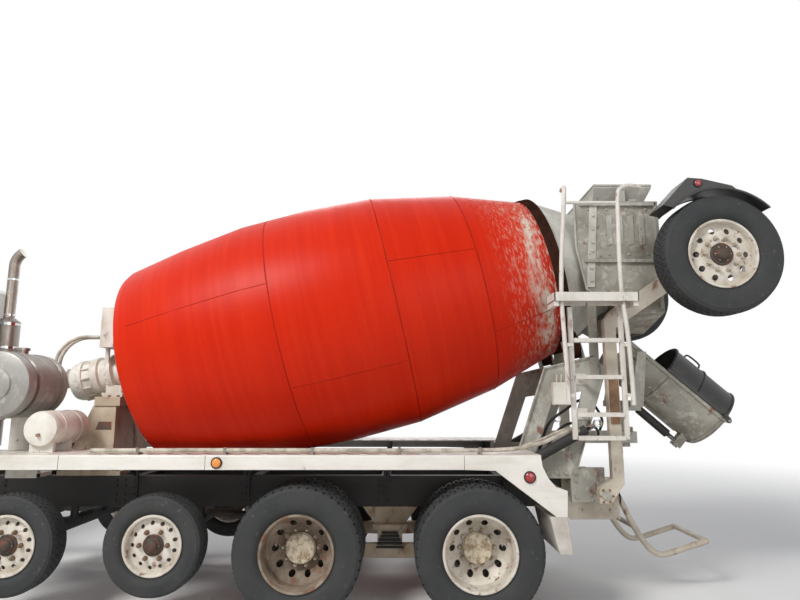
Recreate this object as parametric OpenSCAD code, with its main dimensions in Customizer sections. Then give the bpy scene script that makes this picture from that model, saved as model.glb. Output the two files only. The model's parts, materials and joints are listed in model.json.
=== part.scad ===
/* [Layout along the truck, from the middle of the two drive axles] */
// Distance between the two drive axles
drive_spacing = 1440; // [1300:10:1600]
// Steering axle ahead of the drive axles' middle
steer_x = 6310; // [6100:10:6450]
// Rear pusher axle ahead of the drive axles' middle
pusher_rear_x = 1850; // [1800:10:1900]
// Distance between the two pusher axles
pusher_spacing = 1150; // [1000:10:1200]
// Front face of the bumper ahead of the drive axles' middle
bumper_front_x = 7510; // [7450:10:7700]
// Back face of the cab ahead of the drive axles' middle
cab_back_x = 4620; // [4600:10:4700]

/* [Tyres and wheels] */
// Outside diameter of a drive or booster tyre
tyre_d = 1030; // [980:5:1060]
// Width of a drive or booster tyre
tyre_w = 280; // [240:5:300]
// Distance between the middles of twin tyres
twin_gap = 340; // [320:5:360]
// Outside diameter of a steering tyre
steer_tyre_d = 1070; // [1020:5:1100]
// Width of a steering tyre
steer_tyre_w = 385; // [320:5:400]
// Outside diameter of a pusher tyre
pusher_tyre_d = 780; // [740:5:820]
// Width of a pusher tyre
pusher_tyre_w = 245; // [220:5:260]
// Diameter of a large rim at its flange
rim_d = 597; // [580:1:610]
// Diameter of a pusher rim at its flange
pusher_rim_d = 470; // [450:1:490]
// Lift of the pusher tyres off the ground
pusher_lift = 185; // [100:5:220]
// Width over the outer faces of the drive tyres
track_outer = 2440; // [2400:10:2500]

/* [Frame] */
// Width over the frame rails
frame_w = 860; // [840:5:880]
// Height of a rail's underside
rail_z = 750; // [700:5:780]
// Height of a rail's section
rail_h = 270; // [250:5:300]
// Width of a rail's flange
rail_flange = 80; // [70:5:90]
// Thickness of a rail
rail_t = 10; // [8:1:12]

/* [Drum] */
// Slope of the drum's axis
drum_tilt = 13.1; // [12:0.1:14]
// Front pole of the drum ahead of the drive axles' middle
drum_pole_x = 2600; // [2550:10:2640]
// Height of the drum's front pole
drum_pole_z = 2005; // [2000:5:2050]
// Wall of the drum
drum_wall = 10; // [6:1:14]
// Largest radius of the drum
drum_r = 1180; // [1150:5:1190]
// Radius of the track ring
ring_r = 815; // [805:5:830]
// Width of the track ring
ring_w = 100; // [80:5:110]
// Distance of the track ring's front face from the drum's pole
ring_at = 4170; // [4150:5:4200]
// Radius of the drum's mouth
mouth_r = 500; // [450:5:520]
// Radius of a drum roller
roller_r = 130; // [120:5:140]

/* [Cab] */
// Width of the cab
cab_w = 2000; // [1960:10:2040]
// Height of the cab's roof
cab_top_z = 3000; // [2950:10:3050]
// Thickness of the cab's walls and doors
cab_wall = 60; // [50:5:70]

/* [Chute and booster] */
// Slope of the main chute
chute_slope = 41; // [35:1:45]
// Length of the main chute
chute_len = 1150; // [1000:10:1180]
// Outer radius of the chutes
chute_r = 310; // [280:5:320]
// Thickness of a chute's sheet
chute_t = 8; // [5:1:12]
// Booster pivot behind the drive axles' middle
booster_pivot_x = 1840; // [1800:5:1860]
// Height of the booster's pivot
booster_pivot_z = 900; // [880:5:960]
// Booster wheel's middle behind the drive axles' middle, stowed
booster_axle_x = 2815; // [2780:5:2850]
// Height of the booster wheel's middle, stowed
booster_axle_z = 2920; // [2880:5:2950]

/* [Hidden] */

$fn = 64;
// Fit between a turning piece and what carries it
fit = 0.1;
// Gap between a piece and its seat
seat = 0.3;

// The origin is halfway between the bumper's face and the stowed booster tyres' backs
rear_reach = booster_axle_x + tyre_d / 2;
tandem_x = (rear_reach - bumper_front_x) / 2;
rail_top = rail_z + rail_h;
rail_y = frame_w / 2;
drive_z = tyre_d / 2;
steer_z = steer_tyre_d / 2;
pusher_z = pusher_tyre_d / 2 + pusher_lift;
drive_stations = [drive_spacing / 2, -drive_spacing / 2];
pusher_stations = [pusher_rear_x + pusher_spacing, pusher_rear_x];
// Middle of the outer drive tyre, and of the twin pair
outer_tyre_y = track_outer / 2 - tyre_w / 2;
twin_y = outer_tyre_y - twin_gap / 2;
steer_tyre_y = track_outer / 2 - steer_tyre_w / 2;
// How far the kingpin stands inside the steering tyre's middle
kingpin_inset = 177.5;
kingpin_y = steer_tyre_y - kingpin_inset;
pusher_tyre_y = 1085;
booster_tyre_y = 1100;

paint_red = [0.80, 0.18, 0.09];
paint_white = [0.93, 0.91, 0.87];
steel_grey = [0.66, 0.66, 0.62];
beige = [0.80, 0.74, 0.64];
dark_steel = [0.22, 0.22, 0.23];
black = [0.10, 0.10, 0.11];
rubber = [0.16, 0.16, 0.17];
glass_tint = [0.35, 0.45, 0.50];
chrome = [0.75, 0.76, 0.78];

// Moves a child to a station measured from the middle of the drive axles
module st(x, y = 0, z = 0) {
    translate([tandem_x + x, y, z]) children();
}

// Both sides of the truck
module both() {
    children();
    mirror([0, 1, 0]) children();
}

// A plate in the XZ plane, its outline in stations and heights, from y to y + t
module side_plate(points, y, t) {
    translate([tandem_x, y + t, 0]) rotate([90, 0, 0]) linear_extrude(t) polygon(points);
}

// A box from one corner to the other, x in stations
module block(a, b) {
    translate([tandem_x + a[0], a[1], a[2]]) cube([b[0] - a[0], b[1] - a[1], b[2] - a[2]]);
}

// A straight round bar between two points
module bar(a, b, r) {
    d = b - a;
    len = norm(d);
    translate(a) rotate([0, acos(d[2] / len), atan2(d[1], d[0])]) cylinder(r = r, h = len);
}

// A bent bar through a list of points, its elbows a little wider than the bar
module bent_bar(points, r) {
    for (i = [0:len(points) - 2]) bar(points[i], points[i + 1], r);
    for (i = [1:len(points) - 2]) translate(points[i]) sphere(r = r + elbow);
}

// What a bent bar's elbow is wider than the bar
elbow = 2;

// An eight-sided bar through a list of points, each run overlapping the next
module angled_bar(points, r) {
    last = len(points) - 2;
    for (i = [0:last]) {
        d = points[i + 1] - points[i];
        lap = d / norm(d) * r * 0.6;
        from = points[i] - (i > 0 ? 1 : 0) * lap;
        to = points[i + 1] + (i < last ? 1 : 0) * lap;
        bar(from, to, r + 0.5 * (i % 2), $fn = 8);
    }
}

// Points given in stations, moved to the truck's own frame
function stp(points) = [for (p = points) [tandem_x + p[0], p[1], p[2]]];

// A tyre around Z with its outer face towards +Z
module tyre(d, w, bead_d) {
    r = d / 2;
    b = bead_d / 2;
    h = r - b;
    bead = 0.36 * w - 1;
    // Half of the section from the bead to the tread's middle: radius, distance from the middle
    half = [[b, bead], [b + 24, bead], [b + 0.2 * h + 14, 0.46 * w], [b + 0.5 * h, 0.5 * w],
        [r - 0.22 * h, 0.48 * w], [r - 0.07 * h, 0.42 * w], [r - 0.01 * h, 0.36 * w], [r, 0.2 * w]];
    last = len(half) - 1;
    rotate_extrude()
        polygon(concat([for (i = [0:last]) [half[i][0], -half[i][1]]], [for (i = [last:-1:0]) half[i]]));
}

// A disc wheel around Z: a barrel, and a disc that runs from disc_z at the hub to edge_z at the barrel,
// with round hand holes
module rim(d, w, disc_z, edge_z, holes, hole_r, hole_ring) {
    r = d / 2;
    seat_r = r - 16;
    t = 12;
    difference() {
        union() {
            rotate_extrude()
                polygon([[seat_r - t, -0.36 * w], [seat_r - seat, -0.36 * w],
                    [seat_r - seat, 0.36 * w], [r, 0.36 * w], [r, 0.36 * w + 12],
                    [seat_r - t, 0.36 * w + 12]]);
            rotate_extrude()
                polygon([[100, disc_z - t], [0.28 * d, disc_z - t], [seat_r - t + 1, edge_z - t],
                    [seat_r - t + 1, edge_z], [0.28 * d, disc_z], [100, disc_z]]);
        }
        for (i = [0:holes - 1])
            rotate([0, 0, 360 * i / holes])
                translate([hole_ring, 0, disc_z - 60]) cylinder(r = hole_r, h = 180);
    }
}

// A hub around Z from z0 to z1, drilled from the inside for its spindle
module hub(r, z0, z1, bore_r, bore_end) {
    difference() {
        translate([0, 0, z0]) cylinder(r = r, h = z1 - z0);
        translate([0, 0, z0 - 1]) cylinder(r = bore_r, h = bore_end - z0 + 1);
    }
}

spindle_r = 42;

// Twin drive wheels on one hub, outer face towards +Z, z = 0 at the middle of the pair
module twin_wheel() {
    for (s = [-1, 1]) translate([0, 0, s * twin_gap / 2]) color(rubber) tyre(tyre_d, tyre_w, rim_d - 32);
    color(beige) difference() {
        union() {
            translate([0, 0, twin_gap / 2]) rim(rim_d, tyre_w, -150, -60, 10, 24, 205);
            mirror([0, 0, 1]) translate([0, 0, twin_gap / 2]) rim(rim_d, tyre_w, -158, -60, 10, 24, 205);
            translate([0, 0, -230]) cylinder(r = 110, h = 290);
            translate([0, 0, 59]) cylinder(r1 = 90, r2 = 75, h = 90);
            cylinder(r = 150, h = 30, center = true);
        }
        translate([0, 0, -231]) cylinder(r = spindle_r + fit, h = 271);
    }
}

// A single wheel: tyre and disc wheel on one hub, z = 0 at the tyre's middle
module single_wheel(d, w, rd, disc_z, holes, hole_r, hole_ring, hub_r) {
    color(rubber) tyre(d, w, rd - 32);
    color(beige) {
        rim(rd, w, disc_z, disc_z - 20, holes, hole_r, hole_ring);
        hub(hub_r, -78, disc_z + 10, spindle_r + fit, disc_z - 30);
        translate([0, 0, disc_z + 9]) cylinder(r1 = 70, r2 = 60, h = 50);
        translate([0, 0, disc_z - 20]) cylinder(r = 130, h = 18);
    }
}

// A wheel's place: its axis along Y, outer face outwards on the side given, 1 or -1
module wheel_at(x, side, y, z) {
    st(x, side * y, z) rotate([-90 * side, 0, 0]) children();
}

rail_back_x = -1950;
rail_front_x = 7180;
module frame_rails() {
    color(dark_steel) both() {
        block([rail_back_x, rail_y - rail_t, rail_z], [rail_front_x, rail_y, rail_top]);
        for (z = [rail_z, rail_top - rail_t])
            block([rail_back_x, rail_y - rail_flange, z], [rail_front_x, rail_y, z + rail_t]);
    }
}

module crossmembers() {
    web_y = rail_y - rail_t - seat;
    color(dark_steel)
        for (x = [rail_back_x + 10, -1100, 0, 1250, 2400, 3500, 4500, 5600, rail_front_x - 100])
            block([x, -web_y, rail_z + 40], [x + 90, web_y, rail_top - 30]);
}

bumper_x0 = bumper_front_x - 130;
module bumper() {
    color(chrome) difference() {
        union() {
            st(0, 0, 420) linear_extrude(300)
                polygon([[bumper_x0 - 60, -1200], [bumper_front_x - 90, -1200], [bumper_front_x, -1050],
                    [bumper_front_x, 1050], [bumper_front_x - 90, 1200], [bumper_x0 - 60, 1200],
                    [bumper_x0, 1000], [bumper_x0, -1000]]);
            for (side = [-1, 1]) {
                block([rail_front_x + seat, side * 390 - 15, 500], [bumper_x0 + 1, side * 390 + 15, 780]);
                block([bumper_front_x - 130, side * 390 - 15, 330],
                    [bumper_front_x - 30, side * 390 + 15, 421]);
            }
        }
        for (side = [-1, 1])
            st(bumper_front_x - 80, side * 390 + 20, 375) rotate([90, 0, 0]) cylinder(r = 25, h = 40);
    }
}

module engine() {
    color(dark_steel) {
        block([5980, -320, 720], [7030, 320, 1560]);
        for (x = [6050, 6850]) both() block([x, 319, rail_top + seat], [x + 90, rail_y, 1080]);
    }
}

// Outline of the cab in stations and heights, drawn in by a margin
function cab_outline(m) = [[cab_back_x + m, 1150 + m], [cab_back_x + m, cab_top_z - 50 - m],
    [cab_back_x + 60 + m, cab_top_z - m], [5450 - m * 0.4, cab_top_z - m],
    [5560 - m, cab_top_z - 50 - m], [5880 - m, 1980 - m * 0.4], [5950 - m, 1930 - m * 0.4],
    [5950 - m, 1150 + m]];

// Outline of a door opening, drawn in by a margin
function door_outline(m) = [[4850 + m, 1230 + m], [4850 + m, 2850 - m], [5480 - m * 1.2, 2850 - m],
    [5760 - m, 1990 - m * 0.3], [5760 - m, 1230 + m]];

// Outline of a door's window
window = [[4930, 2010], [4930, 2770], [5440, 2770], [5690, 2010]];

cab_y = cab_w / 2;
hinge_x = 5760;
hinge_y = cab_y + 14;
module cab() {
    color(paint_white) difference() {
        side_plate(cab_outline(0), -cab_y, cab_w);
        side_plate(cab_outline(cab_wall), -cab_y + cab_wall, cab_w - 2 * cab_wall);
        side_plate(door_outline(0), -cab_y - 1, cab_w + 2);
        // Windshield, square to the sloping front
        side_plate([[5400, 2050], [5400, 2850], [5800, 2850], [6100, 2050]], -860, 1720);
        // Rear window
        block([cab_back_x - 1, -500, 2380], [cab_back_x + cab_wall + 1, 500, 2680]);
    }
    color(dark_steel) {
        for (side = [-1, 1]) for (z = [1400, 1800]) {
            for (dz = [0, 90.5]) st(hinge_x + 3, side * hinge_y, z + dz) cylinder(r = 12, h = 29.5);
            st(hinge_x + 3, side * hinge_y, z) cylinder(r = 6, h = 120);
            for (dz = [0, 90.5])
                block([hinge_x + 3, side > 0 ? cab_y - 1 : -cab_y - 9, z + dz],
                    [hinge_x + 50, side > 0 ? cab_y + 9 : -cab_y + 1, z + dz + 29.5]);
        }
        // Feet of the cab on the rails
        for (x = [4700, 5500]) both()
            block([x, rail_y - rail_flange, rail_top + seat], [x + 120, rail_y, 1151]);
    }
}

module cab_glass() {
    color(glass_tint) {
        // Windshield
        side_plate([[5838, 2054], [5584, 2846], [5578, 2846], [5832, 2054]], -856, 1712);
        // Rear window
        block([cab_back_x + 24, -500 + seat, 2380 + seat], [cab_back_x + 30, 500 - seat, 2680 - seat]);
    }
}

module seats() {
    color(black) for (side = [-1, 1]) {
        block([4880, side * 480 - 240, 1560], [5380, side * 480 + 240, 1700]);
        st(4870, side * 480, 1640) rotate([0, -8, 0])
            translate([-50, -232, 0]) cube([130, 464, 640]);
        block([4960, side * 480 - 180, 1210 + seat], [5310, side * 480 + 180, 1561]);
    }
}

module dashboard() {
    color(dark_steel) {
        side_plate([[5640, 1620], [5640, 1900], [5720, 1960], [5889 - seat, 1880], [5889 - seat, 1620]],
            -930, 1860);
        st(5600, 480, 1860) rotate([0, -60, 0]) {
            rotate_extrude() translate([225, 0]) circle(r = 16);
            cylinder(r = 45, h = 30, center = true);
            for (a = [90, 210, 330]) rotate([0, 90, a]) cylinder(r = 12, h = 225);
            translate([0, 0, -160]) cylinder(r = 30, h = 160);
        }
    }
}

mirror_y = 1300;
module mirrors() {
    color(black) both() {
        block([5700, mirror_y, 2050], [5780, mirror_y + 120, 2600]);
        // Lower and upper stays with their feet on the cab
        block([5775, cab_y + seat, 1985], [5805, cab_y + 16, 2015]);
        bent_bar(stp([[5790, cab_y + 8, 2000], [5740, mirror_y + 30, 2000],
            [5740, mirror_y + 30, 2060]]), 14);
        block([5465, cab_y + seat, 2880], [5505, cab_y + 18, 2920]);
        bent_bar(stp([[5485, cab_y + 12, 2900], [5740, mirror_y + 30, 2900],
            [5740, mirror_y + 30, 2590]]), 14);
    }
}

module fuel_tanks() {
    color(chrome) both() {
        st(4560, 880, 820) rotate([0, 90, 0]) cylinder(r = 300, h = 1000);
        for (x = [4700, 5360])
            block([x, rail_y + seat, 780], [x + 60, 620, 880]);
        for (z = [600, 900]) block([4650, 1120, z], [5500, 1210, z + 30]);
        for (x = [4650, 5470]) block([x, 1120, 600], [x + 30, 1200, 930]);
        for (x = [4650, 5470]) block([x, 1000, 900], [x + 30, 1130, 930]);
    }
}

exhaust_x = cab_back_x - 160;
exhaust_y = 800;
muffler_r = 125;
stack_r = 58;
// Radius of the curved tip and the height at which it starts
tip_bend = 180;
tip_z = 3270;
module exhaust() {
    color(chrome) {
        st(exhaust_x, -exhaust_y, 0) {
            translate([0, 0, 1200]) cylinder(r = stack_r, h = 320);
            translate([0, 0, 1500]) cylinder(r = muffler_r, h = 1100);
            translate([0, 0, 2600]) cylinder(r1 = muffler_r, r2 = stack_r, h = 50);
            translate([0, 0, 2645]) cylinder(r = stack_r, h = tip_z - 2644);
            translate([-tip_bend, 0, tip_z]) rotate([90, 0, 0]) rotate_extrude(angle = 60)
                translate([tip_bend, 0]) circle(r = stack_r);
        }
        // Bracket from the rail
        block([exhaust_x - 30, -exhaust_y - 20, 1300], [exhaust_x + 30, -rail_y - seat, 1360]);
        block([exhaust_x - 30, -rail_y - 60, 980], [exhaust_x + 30, -rail_y - seat, 1360]);
    }
}

pedestal_top_z = 1650;
// Top of the pedestal's cap, on which the gearbox stands
cap_top_z = 1735;
module front_pedestal() {
    color(beige) {
        // Base plate across the rails, and the tapering body on it
        block([2480, -rail_y, rail_top + seat], [3060, rail_y, 1060]);
        hull() {
            block([2560, -rail_y + 10, 1059], [3030, rail_y - 10, 1061]);
            block([2640, -260, pedestal_top_z - 2], [2860, 260, pedestal_top_z]);
        }
        // Cap under the gearbox's foot
        block([2600, -275, pedestal_top_z - 1], [2845, 275, cap_top_z]);
    }
}

// Moves to the drum's frame: Z along its axis to the rear and up, X up, origin at the front pole
module drum_frame() {
    st(drum_pole_x, 0, drum_pole_z) rotate([0, drum_tilt - 90, 0]) children();
}

gearbox_r = 200;
// Face of the oil cooler that the hoses enter, and the top of the motor's port block
cooler_front_x = 2830;
port_top_z = 1920;
hose_x = 3300;
module drum_drive() {
    color(paint_white) drum_frame() {
        translate([0, 0, -590]) cylinder(r = gearbox_r, h = 430);
        translate([0, 0, -161]) cylinder(r = 140, h = 101);
        translate([0, 0, -61]) cylinder(r = 200, h = 41 - fit);
        translate([60, 0, -900]) cylinder(r = 90, h = 311);
    }
    color(paint_white) {
        // Foot on the pedestal's cap
        block([2625, -180, cap_top_z + seat], [2830, 180, 1850]);
        // Port block on the motor's side
        block([hose_x - 35, 60, port_top_z - 60], [hose_x + 35, 230, port_top_z]);
        // Oil cooler on its legs
        block([cooler_front_x - 130, -300, 2210], [cooler_front_x, 300, 2600]);
        both() block([cooler_front_x - 40, 150, 2000], [cooler_front_x - 2, 175, 2211]);
    }
}

module water_tanks() {
    color(chrome) {
        st(3270, 480, 1830) rotate([-90, 0, 0]) cylinder(r = 280, h = 620);
        st(3270, 480, 1830) rotate([-90, 0, 0]) cylinder(r = 120, h = 632);
        block([3130, 560, rail_top + seat], [3410, 620, 1640]);
        block([3130, 380, rail_top + seat], [3410, 621, 1060]);
    }
    color(paint_white) {
        st(2900, 480, 1465) rotate([-90, 0, 0]) cylinder(r = 147, h = 560);
        for (y = [690, 950]) block([2800, y, deck_top + seat], [3000, y + 40, 1360]);
    }
}

// A hose's route in stations and heights: up from the port block, over, and into the cooler
hose_r = 16;
hose_route = [[hose_x, port_top_z + seat], [3300, 1980], [3300, 2040], [3290, 2112], [3262, 2180],
    [3218, 2238], [3160, 2282], [3092, 2310], [3020, 2320], [2950, 2320], [2890, 2320],
    [cooler_front_x + seat, 2320]];
// The hose at y as one swept solid, each ring square to the route at its point
module hose(y) {
    sides = 8;
    last = len(hose_route) - 1;
    rings = [for (i = [0:last])
        let (d = hose_route[min(i + 1, last)] - hose_route[max(i - 1, 0)])
        for (k = [0:sides - 1])
            let (out = hose_r * cos(360 * (k + 0.5) / sides) / norm(d))
            [tandem_x + hose_route[i][0] - d[1] * out, y + hose_r * sin(360 * (k + 0.5) / sides),
                hose_route[i][1] + d[0] * out]];
    walls = [for (i = [0:last - 1]) for (k = [0:sides - 1])
        let (next = (k + 1) % sides)
        [i * sides + k, (i + 1) * sides + k, (i + 1) * sides + next, i * sides + next]];
    ends = [[for (k = [0:sides - 1]) k], [for (k = [sides - 1:-1:0]) last * sides + k]];
    color(paint_white) polyhedron(points = rings, faces = concat(walls, ends), convexity = 4);
}

deck_in = 650;
deck_out = 1220;
deck_top = 1270;
// Rear end of the fender's face, in stations and heights
fender_tail = [[-848, 1149], [-1315, 800], [-1400, 800], [-1410, 996], [-1318, 1027],
    [-1265, 1087], [-1220, 1180], [-1210, 1265]];
module fender_decks() {
    color(paint_white) both() {
        block([-1210, deck_in, deck_top - 12], [3800, deck_out, deck_top]);
        block([-1210, deck_out - 12, 1156], [3800, deck_out, deck_top]);
        side_plate(concat([[-600, 1156], [-600, 1265]], [for (i = [7:-1:0]) fender_tail[i]]),
            deck_out - 12, 12);
        // Brackets from the rails, each its own piece against the deck
        for (x = [-1085, 0, 1280, 2300, 3700]) {
            block([x, rail_y + seat, 830], [x + 60, rail_y + 20, 1190]);
            block([x, rail_y + seat, 1150], [x + 60, deck_out - 12 - seat, 1190]);
            block([x, deck_in + 2, 1189], [x + 60, deck_out - 12 - seat, deck_top - 12 - seat]);
        }
        // Rear mud flaps with their carriers
        block([-1400, deck_in, 800], [-1388, deck_out, 1000]);
        side_plate([[-1400, 801], [-1260, 801], [-1330, 520], [-1430, 520]], deck_in, 570);
    }
}

yoke_y = (ring_r + roller_r + seat) * sin(35);
roller_down = (ring_r + roller_r + seat) * cos(35);
ring_mid = ring_at + ring_w / 2;
roller_pin_r = 30;
roller_w = 90;
tower_y = 600;
module rear_tower() {
    color(steel_grey) {
        // Base beam on the rails and side plates up to the roller beam
        block([-1700, -tower_y - 30, rail_top + seat], [-1090, tower_y + 30, 1110]);
        both() difference() {
            side_plate([[-1660, 1109], [-1090, 1109], [-1400, 1990], [-1860, 2100], [-1960, 1990]],
                tower_y, 30);
            side_plate([[-1590, 1250], [-1300, 1250], [-1480, 1740], [-1740, 1780]], tower_y - 1, 32);
        }
        drum_frame() {
            translate([-1150, -tower_y - 1, ring_mid - 110]) cube([100, 2 * tower_y + 2, 220]);
            for (side = [-1, 1]) {
                for (dz = [-1, 1])
                    translate([-1051, side * yoke_y - 58, ring_mid + dz * 65 - 10])
                        cube([1051 - roller_down + 50, 116, 20]);
                translate([-roller_down, side * yoke_y, ring_mid - 75])
                    cylinder(r = roller_pin_r, h = 150);
            }
        }
        // Arm back to the chute's swivel
        difference() {
            block([-2410, -110, 1290], [-1600, 110, 1400]);
            st(-2320, 0, 1280) cylinder(r = 55 + fit, h = 140);
        }
        block([-1700, -110, 1109], [-1600, 110, 1400]);
        // Cheeks and pins of the booster's pivots and of its cylinders
        both() {
            block([-booster_pivot_x - 60, tower_y - 10, booster_pivot_z - 80], [-1600, tower_y + 30, 1112]);
            st(-booster_pivot_x, tower_y + 29, booster_pivot_z) rotate([-90, 0, 0])
                cylinder(r = 35, h = arm_y + arm_t + 12 - tower_y - 29);
            st(-lift_base[0], tower_y + 29, lift_base[1]) rotate([-90, 0, 0])
                cylinder(r = 20, h = lift_y + 45 - tower_y - 29);
        }
    }
}

module roller(side) {
    color(dark_steel) drum_frame() translate([-roller_down, side * yoke_y, ring_mid - roller_w / 2])
        difference() {
            cylinder(r = roller_r, h = roller_w);
            translate([0, 0, -1]) cylinder(r = roller_pin_r + fit, h = roller_w + 2);
        }
}

// Stations along the drum's axis and the outer radius there: head, knuckle, belly, neck
drum_profile = [[0, 0], [12, 220], [55, 450], [135, 700], [224, 900], [250, 930], [300, 958],
    [800, 1062], [1413, 1155], [2060, drum_r], [2706, 1156], [3497, 1012], [ring_at, 800]];
module drum() {
    w = drum_wall;
    color(paint_red) drum_frame() {
        rotate_extrude($fn = 256) polygon(concat(outer_line(), inner_line(w)));
        translate([0, 0, -20]) cylinder(r = 180, h = 35);
    }
}
// The neck behind the ring, then the outer and the inner line as radius and height pairs
neck_profile = [[ring_at + ring_w + 1, 800], [ring_at + ring_w + 1, 780], [4800, mouth_r]];
function outer_line() = [for (p = concat(drum_profile, neck_profile)) [p[1], p[0]]];
function inner_line(w) = concat([[mouth_r - w, 4800], [780 - w, ring_at + ring_w + 1], [780 - w, ring_at]],
    [for (i = [len(drum_profile) - 2:-1:0]) let (p = drum_profile[i])
        [max(0, p[1] - (p[1] > 800 ? w : 0)), p[0] + (p[0] < 400 ? w : 0)]]);

module track_ring() {
    color(dark_steel) drum_frame() translate([0, 0, ring_at + seat]) difference() {
        cylinder(r = ring_r, h = ring_w, $fn = 128);
        translate([0, 0, -1]) cylinder(r = 800 + seat, h = ring_w + 2, $fn = 128);
    }
}

// How far the hopper's rim stands out behind the collector, and its sheet's thickness
hopper_lap = 60;
hopper_t = 8;
module hopper() {
    color(steel_grey) {
        difference() {
            hull() {
                block([-coll_back - hopper_lap, -480, 3760], [-1995, 480, 3800]);
                block([170 - coll_back, -200, 3250], [-2010, 200, 3260]);
            }
            hull() {
                block([-coll_back - hopper_lap + hopper_t, -472, 3765], [-2003, 472, 3801]);
                block([170 + hopper_t - coll_back, -192, 3249], [-2018, 192, 3261]);
            }
        }
        // Straps onto the collector's sides
        both() {
            block([200 - coll_back, 400, funnel_rim + seat], [260 - coll_back, coll_y, 3560]);
            block([200 - coll_back, 471, funnel_rim + 1], [260 - coll_back, 480, 3770]);
        }
    }
}

coll_y = 730;
// Radius of the booster axle's tube
booster_tube_r = 65;
// Room between the stowed booster axle and the collector's back
axle_gap = 250;
coll_back = booster_axle_x - booster_tube_r - axle_gap;
// Heights of the collector's top, of its funnel's top and of the outlet
funnel_rim = 3540;
funnel_top = 2510;
funnel_end = 2345;
module collector() {
    t = 10;
    color(steel_grey) {
        both() side_plate([[-1720, funnel_rim], [-1720, 3100], [-1800, 2700], [-2080, 2530],
            [-2120, funnel_top], [-coll_back, funnel_top], [-coll_back, funnel_rim]], coll_y - t, t);
        block([-coll_back, -coll_y, funnel_top], [-coll_back + t, coll_y, funnel_rim]);
        difference() {
            hull() {
                block([-coll_back, -coll_y, funnel_top - 20], [-2120, coll_y, funnel_top]);
                block([-coll_back + 20, -270, funnel_end], [-2150, 270, funnel_end + 2]);
            }
            hull() {
                block([-coll_back + t, -coll_y + t, funnel_top - 20], [-2130, coll_y - t, funnel_top + 1]);
                block([-coll_back + 30, -260, funnel_end - 1], [-2160, 260, funnel_end + 2]);
            }
        }
        // Struts down to the tower
        both() block([-1900, tower_y + 30 + seat, 1900], [-1820, tower_y + 50, 2750]);
        both() block([-1900, tower_y + 30 + seat, 2720], [-1820, coll_y, 2750]);
    }
}

ladder_y = 1040;
module ladder() {
    color(paint_white) {
        for (x = [-1540, -1970]) block([x - 22, ladder_y - 22, 1380], [x + 22, ladder_y + 22, 2486]);
        for (z = [1390, 1580, 1890, 2200])
            block([-1970, ladder_y - 30, z - 20], [-1540, ladder_y + 30, z + 20]);
        // Platform
        block([-2100, 870, 2485], [-1390, 1150, 2600]);
        // Hand rails
        angled_bar(stp([[-1480, 1100, 1700], [-1440, 1110, 2500], [-1440, 1110, 3480], [-1500, 1060, 3560],
            [-1560, 960, 3560]]), 20);
        angled_bar(stp([[-2000, 1100, 1700], [-1990, 1110, 2500], [-1930, 1110, 3400], [-2080, 1080, 3550],
            [-2180, 1060, 3540]]), 20);
        // Stays to the tower, ahead of the booster's arms
        for (z = [1580, 1890])
            block([-1735, tower_y + 30 + seat, z - 18], [-1705, ladder_y, z + 18]);
    }
}

module rear_guard() {
    color(beige) {
        // End plates on the rails with their hangers
        both() block([-2060, rail_y + seat, 640], [-1560, rail_y + 20, 1010]);
        block([-2080, -rail_y - 20, 640], [-2060, rail_y + 20, 900]);
        both() angled_bar(stp([[-2085, 330, 880], [-2240, 330, 560], [-2460, 330, 300],
            [-2900, 330, 430]]), 27);
        block([-2922, -330, 408], [-2878, 330, 452]);
        block([-2262, -330, 538], [-2218, 330, 582]);
    }
}

module steer_axle() {
    color(dark_steel) {
        block([steer_x - 55, -kingpin_y + 150, 430], [steer_x + 55, kingpin_y - 150, 540]);
        both() st(steer_x, kingpin_y, 0) {
            translate([0, 0, 455]) cylinder(r = 60, h = 130);
            translate([-50, -170, 452]) cube([100, 130, 108]);
            translate([0, 0, 390]) cylinder(r = 22, h = 290);
        }
        // Leaf springs up to the rails
        both() {
            side_plate([[5700, 700], [5700, 740], [steer_x, 590], [6920, 740], [6920, 700],
                [steer_x, 539]], 345, 80);
            for (x = [5700, 6870]) block([x, 345, 700], [x + 50, 425, rail_z - seat]);
        }
    }
}

// Steering knuckle on its kingpin, side 1 or -1
module knuckle(side) {
    color(dark_steel) difference() {
        st(steer_x, side * kingpin_y, 0) {
            for (z = [395, 595]) translate([0, 0, z]) cylinder(r = 50, h = 50);
            translate([-50, side > 0 ? 62 : -92, 395]) cube([100, 30, 250]);
            for (z = [395, 595]) translate([-50, side > 0 ? 0 : -70, z]) cube([100, 70, 50]);
            translate([0, side * 80, steer_z]) rotate([-90 * side, 0, 0])
                cylinder(r = spindle_r, h = steer_tyre_y + 28 - kingpin_y - 80);
        }
        st(steer_x, side * kingpin_y, 380) cylinder(r = 22 + fit, h = 280);
    }
}

module drive_axles() {
    color(dark_steel) for (x = drive_stations) {
        st(x, 0, drive_z) {
            rotate([90, 0, 0]) cylinder(r = 75, h = 2 * 670, center = true);
            rotate([90, 0, 0]) cylinder(r = spindle_r, h = 2 * (twin_y + 38), center = true);
            sphere(r = 215);
            rotate([0, 90, 0]) cylinder(r = 110, h = 300);
        }
    }
}

beam_t = 70;
// Inner face of a walking beam, inside the inner tyres
beam_y = twin_y - twin_gap / 2 - tyre_w / 2 - 140;
module drive_suspension() {
    color(beige) both() {
        // Centre bracket under the rail with its rubber block, and the walking beam
        side_plate([[-250, rail_z - seat], [250, rail_z - seat], [140, 610], [-140, 610]], 350, 90);
        block([-150, 350, 560], [150, beam_y + 60, 611]);
        block([-110, beam_y + 10, 400], [110, beam_y + 60, 561]);
        side_plate([[-780, 350], [-780, 439 + seat], [-660, 439 + seat], [-200, 450], [200, 450],
            [660, 439 + seat], [780, 439 + seat], [780, 350], [150, 330], [-150, 330]], beam_y, beam_t);
    }
}

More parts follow.
